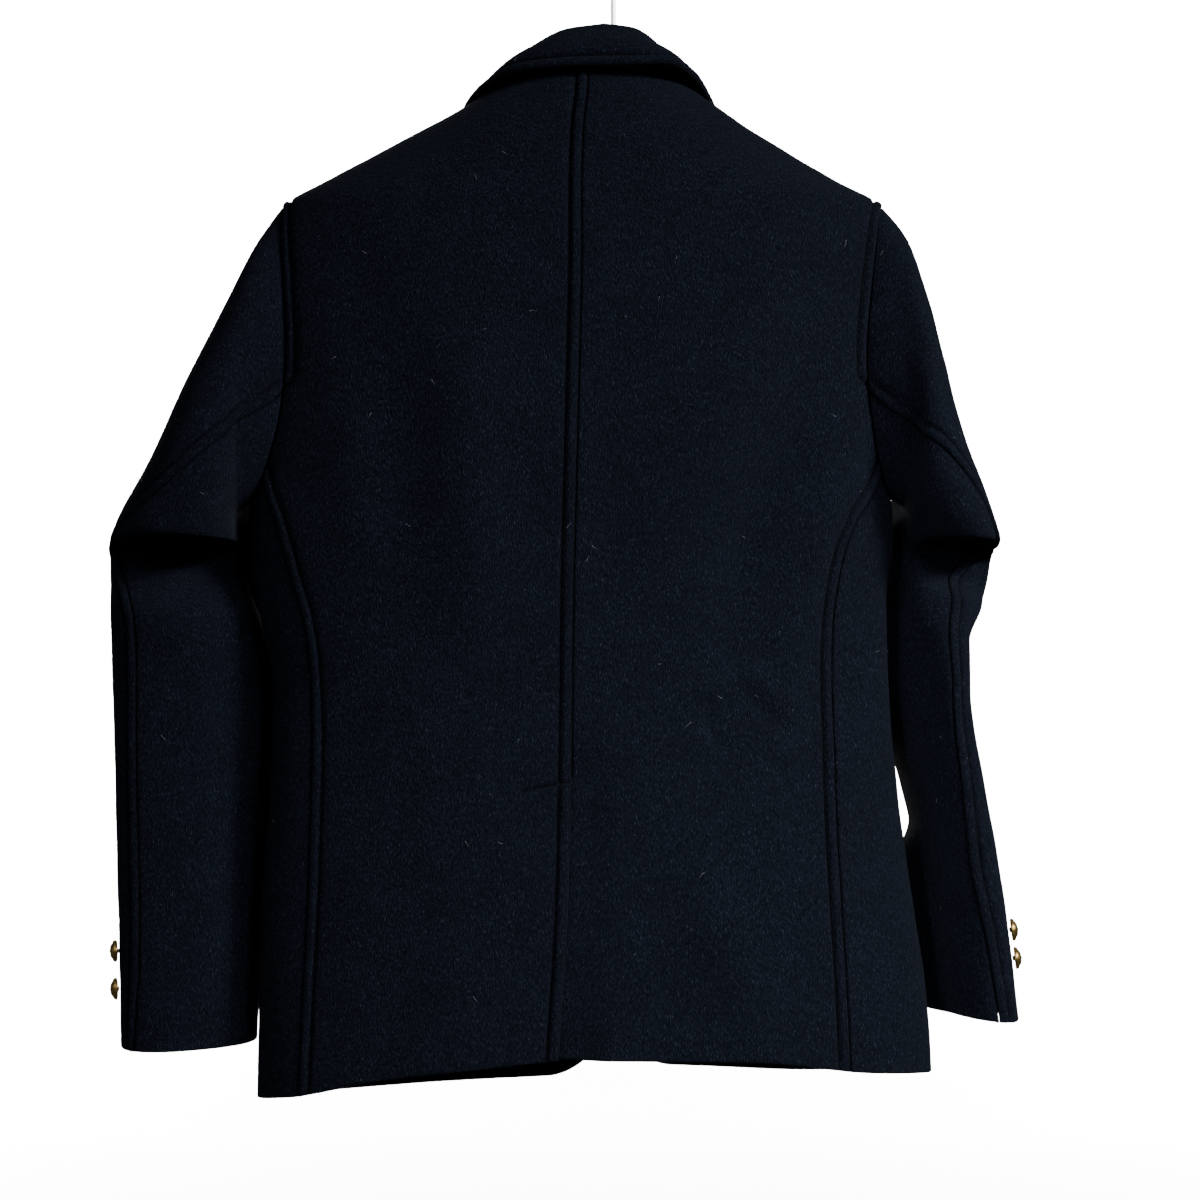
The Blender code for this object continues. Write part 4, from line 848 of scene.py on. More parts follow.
def mesh_object(name, vertices, faces, material):
    """An object from whole arrays: the vertices, and one array of faces for
    each number of corners."""
    data = bpy.data.meshes.new(name)
    corners = np.concatenate([group.ravel() for group in faces]).astype(np.int32)
    sizes = np.concatenate([np.full(len(group), group.shape[1]) for group in faces]).astype(np.int32)
    data.vertices.add(len(vertices))
    data.vertices.foreach_set("co", np.ascontiguousarray(vertices, dtype=np.float32).ravel())
    data.loops.add(len(corners))
    data.loops.foreach_set("vertex_index", corners)
    data.polygons.add(len(sizes))
    data.polygons.foreach_set("loop_start", (np.cumsum(sizes) - sizes).astype(np.int32))
    data.polygons.foreach_set("loop_total", sizes)
    data.polygons.foreach_set("use_smooth", np.ones(len(sizes), bool))
    data.update(calc_edges=True)
    data.validate()
    data.materials.append(material)
    made = bpy.data.objects.new(name, data)
    bpy.context.scene.collection.objects.link(made)
    return made


def grid_faces(rows, columns):
    """A grid's point numbers, and a face for each of its cells."""
    index = np.arange(rows * columns).reshape(rows, columns)
    corners = [index[:-1, :-1], index[:-1, 1:], index[1:, 1:], index[1:, :-1]]
    return index, np.stack(corners, -1).reshape(-1, 4)


def capped_tube(rings, sides):
    """Faces of a closed tube: one for each cell between two rings, and a fan
    from each end ring to a pole. The two poles come after the rings' points."""
    ring = np.arange(rings * sides).reshape(rings, sides)
    after = np.roll(ring, -1, axis=1)
    walls = np.stack([ring[:-1], ring[1:], after[1:], after[:-1]], -1).reshape(-1, 4)
    first, last = np.full(sides, rings * sides), np.full(sides, rings * sides + 1)
    fans = [np.stack([first, ring[0], after[0]], -1), np.stack([last, after[-1], ring[-1]], -1)]
    return walls, np.concatenate(fans)


def repeated(faces, count, size):
    """The same faces for each of count copies that have size points each."""
    shift = (np.arange(count) * size)[:, None, None]
    return (faces[None] + shift).reshape(-1, faces.shape[1])


def circle(sides, first, second):
    """Directions evenly round each place: the cosine of a turn times one way
    plus its sine times another."""
    turn = (np.arange(sides) * 2 * math.pi / sides)[:, None]
    return np.cos(turn) * first[..., None, :] + np.sin(turn) * second[..., None, :]


def shell(name, outer, inner, material):
    """A closed wall of cloth: the outer grid, the inner grid, and the strip
    that joins their four edges."""
    index, cells = grid_faces(*outer.shape[:2])
    loop = np.concatenate([index[0], index[1:, -1], index[-1, -2::-1], index[-2:0:-1, 0]])
    after = np.roll(loop, -1)
    rim = np.stack([loop, loop + index.size, after + index.size, after], -1)
    facing = np.cross(np.gradient(outer, axis=1), np.gradient(outer, axis=0))
    faces = np.concatenate([cells, cells[:, ::-1] + index.size, rim])
    if (facing * (outer - inner)).sum() < 0:
        faces = faces[:, ::-1]
    return mesh_object(name, np.concatenate([outer.reshape(-1, 3), inner.reshape(-1, 3)]), [faces], material)


def sew(node, points, normals, joined, sewn, tucked=(), tacks=()):
    """Make one piece of cloth that stands for a solid: points, the plain outer
    grid, moved along its outward directions by the relief of its seams and the
    roll of its edges, and a second grid a wall's thickness below it. joined are
    the edges with an allowance behind them, sewn those with stitches beside
    them and on which rows, tucked those that aren't rolled over, and tacks are
    lines of stitches anywhere on the piece."""
    points = draw_in(points)
    edges = [points[place] for place, _ in EDGES]
    to_edge = np.min([nearest(points, edge)[0] for number, edge in enumerate(edges)
                      if number not in tucked], axis=0)
    to_end = np.minimum(nearest(points, edges[BOTTOM])[0], nearest(points, edges[TOP])[0])
    settled = END_SHARE + (1 - END_SHARE) * ease(0.0, END_FADE, to_end)
    relief = np.zeros(points.shape[:2])
    # painted shade: the wool is darkened in the grooves along edges, seams and stitch rows
    groove_shade = EDGE_GROOVE_SHADE * bell(to_edge, GROOVE_SHADE_WIDTH)
    found = []
    for number, (edge, rows) in enumerate(sewn):
        distance, along = nearest(points, edges[edge][rows])
        relief += settled * sewn_relief(distance, along, number + len(node))
        groove_shade = np.maximum(groove_shade, SEWN_GROOVE_SHADE * bell(distance - STITCH_IN, GROOVE_SHADE_WIDTH))
        found.append((distance, edge, rows))
    for line in tacks:
        distance = nearest(points, line)[0]
        relief -= TACK_PULL * bell(distance, TACK_WIDTH)
        groove_shade = np.maximum(groove_shade, TACK_GROOVE_SHADE * bell(distance, GROOVE_SHADE_WIDTH))
    outer = points + (relief - OUTER_TURN * turned_down(to_edge))[..., None] * normals
    inner = points - (CLOTH + INNER_TURN * turned_down(to_edge))[..., None] * normals
    for row in found:
        stitch_path(outer, normals, *row)
    made = shell(node + "_cloth", outer, with_allowance(inner, joined), WOOL)
    # the painted shade, stored per point for the wool's colour; none on the inner face
    shade = made.data.attributes.new("groove_shade", "FLOAT", "POINT")
    shade.data.foreach_set("value", np.concatenate([groove_shade.ravel(), 0 * groove_shade.ravel()]).astype(np.float32))
    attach(made, "root")
    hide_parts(node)
    SURFACES.append((outer, normals))


def body_cloth(degrees, drop, out):
    """Points and outward directions of the body's cloth, creased."""
    plain, normals = on_body(degrees, drop, out), body_normal(degrees, drop)
    lift = folds(plain, normals, BODY_FOLDS) + sway(plain)
    return plain + lift[..., None] * normals, normals


def back_panel(side):
    """From hem to neck and shoulder, and from the centre back to the side seam
    and armhole. The left one carries the stitches of the centre seam and vent."""
    centre = centre_back_line(side)
    outside = join(side_back_line(side), armhole(side, grown(BACK_CLOCK)))
    neckline = read_off(NECK, 1, side * np.linspace(0, 90, 121))
    top = join(spread(neckline, NECK_COLUMNS * FINE), shoulder_line(side))
    hem_line = read_off(HEM, own(side), np.linspace(centre[0, 0], outside[0, 0], 161))
    hem = spread(hem_line, len(top) - 1)
    width, length = BACK_GRID
    u, v = crowd(width, side > 0, True), np.union1d(crowd(length, False, False), VENT_ROWS)
    grid = patch_flat(side, False, (hem, top, centre, outside), u, v)
    out = vent_step(grid[..., 0], grid[..., 1]) if side < 0 else np.zeros(grid.shape[:2])
    points, normals = body_cloth(grid[..., 0], grid[..., 1], out)
    row = v * (LOW_ROWS + HIGH_ROWS)
    sewn = [(END, np.flatnonzero(row < SIDE_SEWN)), (END, np.flatnonzero(row > BACK_ARM_SEWN))]
    tacks = []
    if side > 0:
        sewn.append((START, np.arange(len(v))))
        xs = np.linspace(*VENT_TACK, 40)
        drops = VENT_TOP - VENT_TACK_UP + VENT_TACK_SLOPE * xs
        angles = degrees_at(1, xs + follow(BODY, 3, drops), drops, False)
        tacks.append(body_cloth(angles, drops, 0.0)[0])
    sew("back_" + label(side), points, normals, ((TOP, HIDDEN), (START, HIDDEN), (END, HIDDEN)), sewn,
        (), tacks)


def side_panel(side):
    """The narrow piece below the armhole, between the back's seam and the front's."""
    behind, before = side_back_line(side), side_front_line(side)
    hem_line = read_off(HEM, own(side), np.linspace(behind[0, 0], before[0, 0], 81))
    hem = spread(hem_line, SIDE_COLUMNS * FINE)
    width, length = SIDE_GRID
    u, v = crowd(width, False, False), crowd(length, False, False)
    grid = patch(hem, armhole(side, grown(UNDER_CLOCK)), behind, before, u, v)
    points, normals = body_cloth(grid[..., 0], grid[..., 1], 0.0)
    sew("side_" + label(side), points, normals, ((TOP, HIDDEN), (START, HIDDEN), (END, HIDDEN)), ())


def front_panel(side):
    """From hem to shoulder, and from the side seam and armhole to the front
    edge. A quarter circle rounds its lower corner, and the hem runs into it."""
    outside = join(side_front_line(side), armhole(side, grown(FRONT_CLOCK)))
    corner = hem_drop(side, CORNER_AT)
    turn = np.linspace(0, math.pi / 2, 65)
    arc_x = front_edge_x(side, corner - QUARTER) + side * QUARTER * (1 - np.sin(turn))
    arc = placed(side, arc_x, corner - QUARTER * (1 - np.cos(turn)), True)
    hem_line = read_off(HEM, own(side), np.linspace(side * SIDE_FRONT, arc[0, 0], 121))
    hem_line[:, 1] += ease(0, 1, np.linspace(0, 1, 121)) * (arc[0, 1] - hem_drop(side, arc[0, 0]))
    drops = np.linspace(arc[-1, 1], NECK[-1, 1], 300)
    edge_line = placed(side, front_edge_x(side, drops), drops, True)
    hem = spread(join(hem_line, arc[:33]), SHOULDER_COLUMNS * FINE)
    edge = spread(join(arc[32:], edge_line), (LOW_ROWS + HIGH_ROWS - NECK_ROWS) * FINE)
    neckline = read_off(NECK, 1, side * np.linspace(NECK[-1, 0], 90, 81))
    neckline[0] = edge[-1]
    edge = join(edge, spread(neckline, NECK_ROWS * FINE))
    width, length = FRONT_GRID
    u, v = crowd(width, True, True), crowd(length, False, False)
    grid = patch_flat(side, True, (hem, shoulder_line(side)[::-1], outside, edge), u, v)
    out = front_lap(side, body(grid[..., 0], grid[..., 1])[..., 0], grid[..., 1])
    points, normals = body_cloth(grid[..., 0], grid[..., 1], out)
    row = v * (LOW_ROWS + HIGH_ROWS)
    sewn = [(START, np.flatnonzero(row < SIDE_SEWN)), (START, np.flatnonzero(row > FRONT_ARM_SEWN)),
            (END, np.flatnonzero(row < EDGE_SEWN))]
    sew("front_" + label(side), points, normals, ((TOP, HIDDEN), (START, HIDDEN)), sewn)


def through(values, at):
    """A smooth curve through a grid's columns, read at fractional columns: the
    same cubic pieces as follow, with the slopes taken from the neighbours."""
    low = np.clip(np.floor(at).astype(int), 0, values.shape[1] - 2)
    t = (at - low).reshape((1, -1) + (1,) * (values.ndim - 2))
    slope = np.gradient(values, axis=1)
    a, b, m, n = values[:, low], values[:, low + 1], slope[:, low], slope[:, low + 1]
    return ((1 + 2 * t) * (1 - t) ** 2 * a + t * (1 - t) ** 2 * m
            + t * t * (3 - 2 * t) * b - t * t * (1 - t) * n)


def lapel(side):
    """The facing that shows. It turns over the roll line by the profile ROLL and
    lies on the front, out to an edge that runs from tip to heel with a sine's bow."""
    head, foot = NECK[-1, 1] + LAPEL_TOP, LAPEL_FOOT[side]
    width, length = LAPEL_GRID
    v = crowd(length, True, False)
    roll_drop = head + (foot - head) * v
    roll = np.stack([roll_x(side, roll_drop), roll_drop], -1)
    turned = roll + (side * LAPEL_FLAT, 0)
    tip, heel = np.array((side * LAPEL_TIP[0], LAPEL_TIP[1])), np.array(LAPEL_HEEL[side])
    outer_edge = tip + (heel - tip) * v[:, None]
    outer_edge[:, 0] += side * LAPEL_BOW * np.sin(math.pi * v)
    u = np.linspace(0, 1, LAPEL_COLUMNS)[:, None]
    gorge = turned[0] + (outer_edge[0] - turned[0]) * u - np.sin(math.pi * u) * (0, GORGE_BOW)
    foot_line = turned[-1] + (outer_edge[-1] - turned[-1]) * u
    grid = patch(gorge, foot_line, turned, outer_edge, u[:, 0], v)
    x = np.concatenate([roll[:, :1] - side * ROLL[:, 0], grid[..., 0]], 1)
    drop = np.concatenate([np.repeat(roll[:, 1:], len(ROLL), 1), grid[..., 1]], 1)
    height = np.concatenate([ROLL[:, 1], LAID_ON + LAPEL_SPRING * (1 - u[:, 0]) ** 2])
    lift = height[None] + front_lap(side, x, drop)
    last = len(height) - 1
    at = np.concatenate([np.linspace(0, LAPEL_BENT, 22),
                         LAPEL_BENT + crowd(width, False, True)[3:] * (last - LAPEL_BENT)])
    x, drop, lift = through(x, at), through(drop, at), through(lift, at)
    degrees = degrees_at(side, x, drop, True)
    plain = on_body(degrees, drop, 0.0)
    lift = lift + folds(plain, body_normal(degrees, drop), BODY_FOLDS) + sway(plain)
    points = on_body(degrees, drop, lift)
    normals = grid_normals(points)
    normals = normals * np.sign(-normals[len(v) // 2, -2, 1])
    sew("lapel_" + label(side), points, normals, (), [(END, np.arange(len(v)))])


def collar():
    """Stand, fold and fall, from one front end round the neck to the other. At
    each place the stand is a straight line up to the fold, the fold is half a
    circle, and the fall a straight line with a sine's bulge."""
    width, length = COLLAR_GRID
    along = 2 * crowd(length, True, True, COLLAR_COARSE) - 1
    left, reach = along >= 0, np.abs(along)
    side = np.where(left, 1.0, -1.0)
    turn, fold_x, fold_y, fold_z, edge_x, edge_y, edge_z = (
        np.where(left, follow(COLLAR[1], column, along), follow(COLLAR[-1], column, -along))
        for column in range(1, 8))
    seam_drop = follow(NECK, 1, turn)
    lean = -side * STAND_LEAN * np.sin(np.radians(turn))
    lifted = unit(np.stack([lean, 0 * along, np.ones_like(along)], -1))
    sunk = STAND_SUNK + STAND_DEEPER * (1 - reach ** 4)
    seam = on_body(side * turn, seam_drop, -sunk) + STAND_CLEAR * lifted
    fold = np.stack([side * fold_x, fold_y, fold_z], -1)
    edge = np.stack([side * edge_x, edge_y, edge_z], -1)
    fall = unit(edge - fold)
    up = unit(unit(fold - seam) - fall)
    outward = square_to(up, body_normal(side * turn, seam_drop))
    centre = fold - COLLAR_FOLD * up
    foot = centre - COLLAR_FOLD * outward
    rows = [seam + share * (foot - seam) for share in np.linspace(0, 1, 9)[:-1]]
    for angle in np.linspace(math.pi, 0, 15):
        rows.append(centre + COLLAR_FOLD * (math.cos(angle) * outward + math.sin(angle) * up))
    start = rows[-1]
    bulge = unit(np.cross(np.gradient(edge, axis=0), fall))
    bulge *= np.sign((bulge * outward).sum(-1, keepdims=True))
    for share in crowd(width, False, True, FALL_COARSE)[2:]:
        rows.append(start + share * (edge - start) + FALL_BULGE * math.sin(math.pi * share) * bulge)
    points = np.stack(rows)
    normals = grid_normals(points)
    middle = len(along) // 2
    normals = normals * np.sign((normals[-6, middle] * outward[middle]).sum())
    points = points + (COLLAR_SWAY * sway(points))[..., None] * normals
    sew("collar", points.transpose(1, 0, 2), normals.transpose(1, 0, 2), ((START, COLLAR_HIDDEN),),
        [(END, np.arange(len(along)))])


def sleeve_point(side, row, turn):
    """A point of a sleeve: row along its table, degrees from its outer end. Each
    ring is a squared ellipse with its own depth behind and in front, twisted,
    raised at the back and made fuller at the inner front."""
    table = SLEEVE[side]
    row, turn = np.broadcast_arrays(np.asarray(row, float), np.asarray(turn, float))
    outer_x, outer_drop, inner_x, inner_drop, mid_y, behind, before, lift, twist = (
        follow(table, column, row) for column in range(1, 10))
    outer = np.stack([outer_x, 0 * row, -outer_drop], -1)
    inner = np.stack([inner_x, 0 * row, -inner_drop], -1)
    half = np.linalg.norm(outer - inner, axis=-1, keepdims=True) / 2
    reach = (outer - inner) / (2 * half)
    twist = np.radians(twist)[..., None]
    back = np.array([0.0, 1.0, 0.0])
    along = np.cos(twist) * reach + np.sin(twist) * back
    across = np.cos(twist) * back - np.sin(twist) * reach
    deep, wide = rounded(np.radians(turn), SLEEVE_POWER)
    depth = np.where(deep > 0, behind, before)
    place = (outer + inner) / 2 + mid_y[..., None] * back
    place = place + wide[..., None] * half * along + (deep * depth)[..., None] * across
    place[..., 2] += lift * np.maximum(deep, 0) ** 2
    full = follow(SLEEVE_FULL[side], 1, row) * np.clip(-deep, 0, 1) * np.clip(-wide, 0, 1)
    place[..., 0] -= side * full
    return place


def sleeve(side, row, turn):
    """The same, led in from the creased armhole line over the first rows."""
    line = armhole(side, turn)
    start, facing = body_cloth(line[..., 0], line[..., 1], 0.0)
    start = start + SLEEVE_STEP * facing
    remain = 1 - ease(0, LEAD_IN, np.asarray(row, float))
    return sleeve_point(side, row, turn) + remain[..., None] * (start - sleeve_point(side, 0.0, turn))


def sleeve_normal(side, row, turn):
    """A sleeve's outward direction, from its slopes along it and round it."""
    step, twist = 0.02, 0.6
    along = sleeve(side, np.minimum(row + step, CUFF), turn) - sleeve(side, np.maximum(row - step, 0), turn)
    around = sleeve(side, row, turn + twist) - sleeve(side, row, turn - twist)
    return unit(np.cross(along, around)) * side


def sleeve_rows(side):
    """Rows at even lengths along the sleeve's longest lines, crowded at both ends."""
    rows = np.linspace(0, CUFF, 1201)
    lines = sleeve(side, rows[:, None], np.arange(0.0, 360.0, 30.0)[None, :])
    length = np.concatenate([[0], np.cumsum(np.linalg.norm(np.diff(lines, axis=0), axis=-1).max(1))])
    return np.interp(crowd(length[-1], False, False) * length[-1], length, rows)


def sleeve_piece(side, name, clock):
    """One of the two lengths of a sleeve, between its hind and fore seams."""
    rows = sleeve_rows(side)[:, None]
    upper = name == "top_sleeve"
    steps = (grown(clock) - clock[0]) / (clock[-1] - clock[0])
    share = np.interp(crowd(SLEEVE_ACROSS, False, upper), np.linspace(0, 1, len(steps)), steps)[None, :]
    hind, fore = follow(SLEEVE[side], 10, rows), follow(SLEEVE[side], 11, rows)
    first, last = (fore - 360, hind) if upper else (hind, fore)
    turn = first + (last - first) * share
    points, normals = sleeve(side, rows, turn), sleeve_normal(side, rows, turn)
    settled = ease(0.0, PLAIN_HEAD, rows)
    lift = (folds(points, normals, SLEEVE_FOLDS[side]) + sway(points)) * settled
    points = points + lift[..., None] * normals
    joined = ((BOTTOM, SLEEVE_HIDDEN), (START, 2 * HIDDEN), (END, 2 * HIDDEN))
    sewn = [(END, np.arange(len(rows)))] if upper else []
    sew(name + "_" + label(side), points, normals, joined, sewn,
        (BOTTOM,))


def pocket_flap(side):
    """A slightly slanting strip of the front, moved out and bowed by a quarter
    of a sine from its sewn top to its free lower edge."""
    width, length = FLAP_GRID
    u = crowd(width, True, True)[None, :]
    v = crowd(length, False, False, FLAP_COARSE)[:, None]
    degrees = side * (FLAP_FROM + FLAP_TURN * u + 0 * v)
    drop = FLAP_TOP + length * v + FLAP_SLANT * u
    lift = LAID_ON + FLAP_BOW * np.sin(math.pi * v / 2) * (1 - FLAP_LESS * u)
    points, normals = body_cloth(degrees, drop, lift)
    rows = np.arange(v.size)
    sew("pocket_flap_" + label(side), points, normals, (), [(START, rows), (END, rows)])


def even_path(place, upright, pitch):
    """The same path cut into even lengths: middles, directions, uprights."""
    length = lengths(place)
    at = np.arange(pitch, length[-1] - pitch, pitch)

    def read(where, values):
        """The values at some lengths along the path."""
        return np.stack([np.interp(where, length, column) for column in values.T], -1)

    ahead = unit(read(at + pitch / 3, place) - read(at - pitch / 3, place))
    return read(at, place), ahead, square_to(ahead, read(at, upright))


def stitching():
    """All the stitches as one mesh. Each is a short closed tube: its rings'
    centres follow a low arc over the cloth and their radius an ellipse."""
    parts = [even_path(place, upright, STITCH_PITCH) for place, upright in STITCHES if len(place) > 3]
    middle, ahead, up = (np.concatenate(group)[:, None] for group in zip(*parts))
    rings, sides = np.linspace(-0.8, 0.8, 4), 5
    arc = (THREAD * 0.9 * (1 - rings ** 2) - THREAD * 0.3)[:, None]
    thick = THREAD * np.sqrt(1 - rings ** 2)[:, None, None]
    spine = middle + (rings * STITCH_HALF)[:, None] * ahead + arc * up
    round_it = circle(sides, np.cross(ahead, up), up)
    tube = (spine[:, :, None] + thick * round_it).reshape(len(middle), -1, 3)
    ends = middle + np.array([[-1], [1]]) * STITCH_HALF * ahead - THREAD * 0.3 * up
    vertices = np.concatenate([tube, ends], 1)
    count, size = vertices.shape[:2]
    faces = [repeated(group, count, size) for group in capped_tube(len(rings), sides)]
    made = mesh_object("topstitching", vertices.reshape(-1, 3), faces, THREAD_DARK)
    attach(made, "root")


def hairs(name, places, ways, up, length, radius, material):
    """Short curved fibres as one mesh. Each is a closed three-sided spike:
    it leaves the cloth along its way and bows by a parabola towards up."""
    count, steps = len(places), 4
    t = np.linspace(0, 1, steps)[:, None]
    reach = t * ways[:, None] + FIBRE_BOW * t * (1 - t) * up[:, None]
    spine = places[:, None] + length[:, None, None] * reach
    side = unit(np.cross(ways, up))
    ring = circle(3, side, unit(np.cross(side, ways)))
    thick = radius * (1 - FIBRE_TAPER * t)[:, :, None]
    vertices = (spine[:, :, None] + thick * ring[:, None]).reshape(-1, 3)
    index = np.arange(steps * 3).reshape(steps, 3)
    after = np.roll(index, -1, axis=1)
    walls = np.stack([index[:-1], after[:-1], after[1:], index[1:]], -1).reshape(-1, 4)
    caps = np.array([index[0][::-1], index[-1]])
    faces = [repeated(group, count, index.size) for group in (walls, caps)]
    made = mesh_object(name, vertices, faces, material)
    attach(made, "root")


def strewn(random, count):
    """Random places on the cloth's outer grids: a grid in proportion to its
    size, a cell of it, and a point of the cell between its corners."""
    areas = []
    for outer, _ in SURFACES:
        down, along = outer[1:, :-1] - outer[:-1, :-1], outer[:-1, 1:] - outer[:-1, :-1]
        areas.append(np.linalg.norm(np.cross(down, along), axis=-1).ravel())
    area = np.concatenate(areas)
    pick = np.sort(random.choice(len(area), count, p=area / area.sum()))
    places, uprights, first = [], [], 0
    for (outer, normals), cells in zip(SURFACES, areas):
        mine = pick[(pick >= first) & (pick < first + len(cells))] - first
        first += len(cells)
        i, j = np.divmod(mine, outer.shape[1] - 1)
        s, t = random.random((2, len(mine), 1))
        places.append((1 - s) * ((1 - t) * outer[i, j] + t * outer[i, j + 1])
                      + s * ((1 - t) * outer[i + 1, j] + t * outer[i + 1, j + 1]))
        uprights.append(normals[i, j])
    return np.concatenate(places), np.concatenate(uprights)


def fibres():
    """The wool's fine fuzz, standing up from it, and a few pale bits of lint
    that lie flat on it. Both point at random about that."""
    random = np.random.default_rng(11)
    places, up = strewn(random, FUZZ_COUNT)
    loose = random.normal(size=(FUZZ_COUNT, 3))
    ways = unit(FUZZ_UP * up + FUZZ_LOOSE * loose + FUZZ_DROOP)
    hairs("wool_fuzz", places - FIBRE_OFF * up, ways, up, random.uniform(*FUZZ_LENGTH, FUZZ_COUNT),
          FUZZ_RADIUS, FIBRE)
    places, up = strewn(random, LINT_COUNT)
    ways = square_to(up, random.normal(size=(LINT_COUNT, 3)))
    hairs("lint", places + FIBRE_OFF * up, ways, up, random.uniform(*LINT_LENGTH, LINT_COUNT),
          LINT_RADIUS, LINT)


def button(node, place, direction, size):
    """A gilt button: a low dome with a raised boss, a rosette of eight petals,
    a roped rim, a dished back and a shank. The profile is turned round its
    axis, and the relief is a product of a cosine round it and a bell along it."""
    number = np.arange(len(BUTTON))
    at = np.concatenate([np.linspace(i, i + 1, int(lines), endpoint=False)
                         for i, lines in enumerate(BUTTON[:, 2])])
    across, up = np.interp(at, number, BUTTON[:, 0]), np.interp(at, number, BUTTON[:, 1])
    dome = at < DOME_LAST
    up = np.where(dome, BUTTON[0, 1] - DOME_FALL * across ** 2.2, up)[:, None]
    out, turn = across[:, None], np.arange(BUTTON_SIDES) * 2 * math.pi / BUTTON_SIDES
    petals = 0.00036 * np.cos(8 * turn) * bell(out - 0.46, 0.15)
    inner = 0.00016 * np.cos(16 * turn + 0.4) * bell(out - 0.26, 0.05)
    boss = 0.00055 * bell(out, 0.13)
    ring = -0.00040 * bell(out - 0.74, 0.035)
    rope = 0.00024 * (1 + np.cos(32 * turn + 9 * out)) * bell(out - 0.90, 0.06)
    height = up + np.where(dome[:, None], petals + inner + boss + ring + rope, 0)
    direction, base = np.asarray(direction), np.asarray(place) + BUTTON_LIFT * np.asarray(direction)
    east = unit(np.cross(direction, (0.0, 0.0, 1.0)))
    round_it = circle(BUTTON_SIDES, east, np.cross(direction, east))
    grid = base + height[1:-1, :, None] * direction + size * across[1:-1, None, None] * round_it
    poles = base + np.array([[height[0, 0]], [0.0]]) * direction
    faces = capped_tube(*grid.shape[:2])
    if np.dot(np.cross(grid[1, 0] - grid[0, 0], grid[0, 1] - grid[0, 0]), direction) < 0:
        faces = [group[:, ::-1] for group in faces]
    made = mesh_object(node + "_gilt", np.concatenate([grid.reshape(-1, 3), poles]), faces, GILT)
    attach(made, "root")
    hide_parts(node)


def buttons():
    """Two on each cuff, beside the hind seam, and two on the left front."""
    for side in (1, -1):
        for number, (row, turn) in enumerate(CUFF_BUTTONS[side], 1):
            row, turn = np.array(row), np.array(float(turn))
            button(f"cuff_button_{label(side)}_{number}", sleeve(side, row, turn),
                   sleeve_normal(side, row, turn), CUFF_BUTTON)
    for number, drop in enumerate(FRONT_BUTTONS, 1):
        drop = np.array(drop)
        degrees = degrees_at(1, follow(BODY, 4, drop), drop, True)
        place, facing = body_cloth(degrees, drop, LAPPED)
        button(f"front_button_{number}", place, facing, FRONT_BUTTON)


def material(name, colour, roughness, metallic=0.0):
    """A plain material: its colour, roughness and metal on the shader itself."""
    made = bpy.data.materials.new(name)
    made.use_nodes = True
    shader = made.node_tree.nodes["Principled BSDF"]
    shader.inputs["Base Color"].default_value = (*colour, 1)
    shader.inputs["Roughness"].default_value = roughness
    shader.inputs["Metallic"].default_value = metallic
    return made, made.node_tree, shader


def noise(tree, scale, detail, stretch=(1, 1, 1), turn=(0, 0, 0)):
    """A noise over the object's own coordinates, stretched and turned."""
    place = tree.nodes.new("ShaderNodeTexCoord")
    mapping = tree.nodes.new("ShaderNodeMapping")
    mapping.inputs["Scale"].default_value = stretch
    mapping.inputs["Rotation"].default_value = turn
    made = tree.nodes.new("ShaderNodeTexNoise")
    made.inputs["Scale"].default_value = scale
    made.inputs["Detail"].default_value = detail
    tree.links.new(place.outputs["Object"], mapping.inputs["Vector"])
    tree.links.new(mapping.outputs["Vector"], made.inputs["Vector"])
    return made.outputs["Fac"]


def ramp(tree, value, *stops):
    """Colours in place of a value: each stop is a place on it and the colour there."""
    made = tree.nodes.new("ShaderNodeValToRGB")
    for number, (place, colour) in enumerate(stops):
        if number > 1:
            made.color_ramp.elements.new(place)
        made.color_ramp.elements[number].position = place
        made.color_ramp.elements[number].color = (*colour, 1)
    tree.links.new(value, made.inputs["Fac"])
    return made.outputs["Color"]


def blend(tree, kind, amount, first, second):
    """Two colours mixed or multiplied. The amount is a number or a socket, and
    each colour a plain one or a socket."""
    made = tree.nodes.new("ShaderNodeMix")
    made.data_type = "RGBA"
    made.blend_type = kind
    if isinstance(amount, float):
        made.inputs[0].default_value = amount
    else:
        tree.links.new(amount, made.inputs[0])
    for value, socket in ((first, made.inputs[6]), (second, made.inputs[7])):
        if isinstance(value, tuple):
            socket.default_value = (*value, 1)
        else:
            tree.links.new(value, socket)
    return made.outputs[2]


def mottled(tree, colour, value, *greys):
    """The colour times a grey that follows a value: each grey is a place on the
    value and the grey's brightness there."""
    shades = ramp(tree, value, *((place, (grey, grey, grey)) for place, grey in greys))
    return blend(tree, "MULTIPLY", 1.0, colour, shades)


def flecked(tree, colour, value, low, high, most):
    """The colour with paler flecks where a value passes low, in full from high."""
    amount = ramp(tree, value, (low, BLACK), (high, (most, most, most)))
    return blend(tree, "MIX", amount, colour, WOOL_PALE)


def added(tree, first, second, share):
    """first + share * second, for bump heights."""
    made = tree.nodes.new("ShaderNodeMath")
    made.operation = "MULTIPLY_ADD"
    tree.links.new(second, made.inputs[0])
    made.inputs[1].default_value = share
    tree.links.new(first, made.inputs[2])
    return made.outputs[0]


def ranged(tree, value, low, high, first=0.0, last=1.0):
    """The value, mapped so that low gives first and high last, and kept between."""
    made = tree.nodes.new("ShaderNodeMapRange")
    for name, number in (("From Min", low), ("From Max", high), ("To Min", first), ("To Max", last)):
        made.inputs[name].default_value = number
    tree.links.new(value, made.inputs["Value"])
    return made.outputs["Result"]


def bump(tree, shader, height, strength, distance):
    """Tilt the shader's normal by the slopes of a height."""
    made = tree.nodes.new("ShaderNodeBump")
    made.inputs["Strength"].default_value = strength
    made.inputs["Distance"].default_value = distance
    tree.links.new(height, made.inputs["Height"])
    tree.links.new(made.outputs["Normal"], shader.inputs["Normal"])


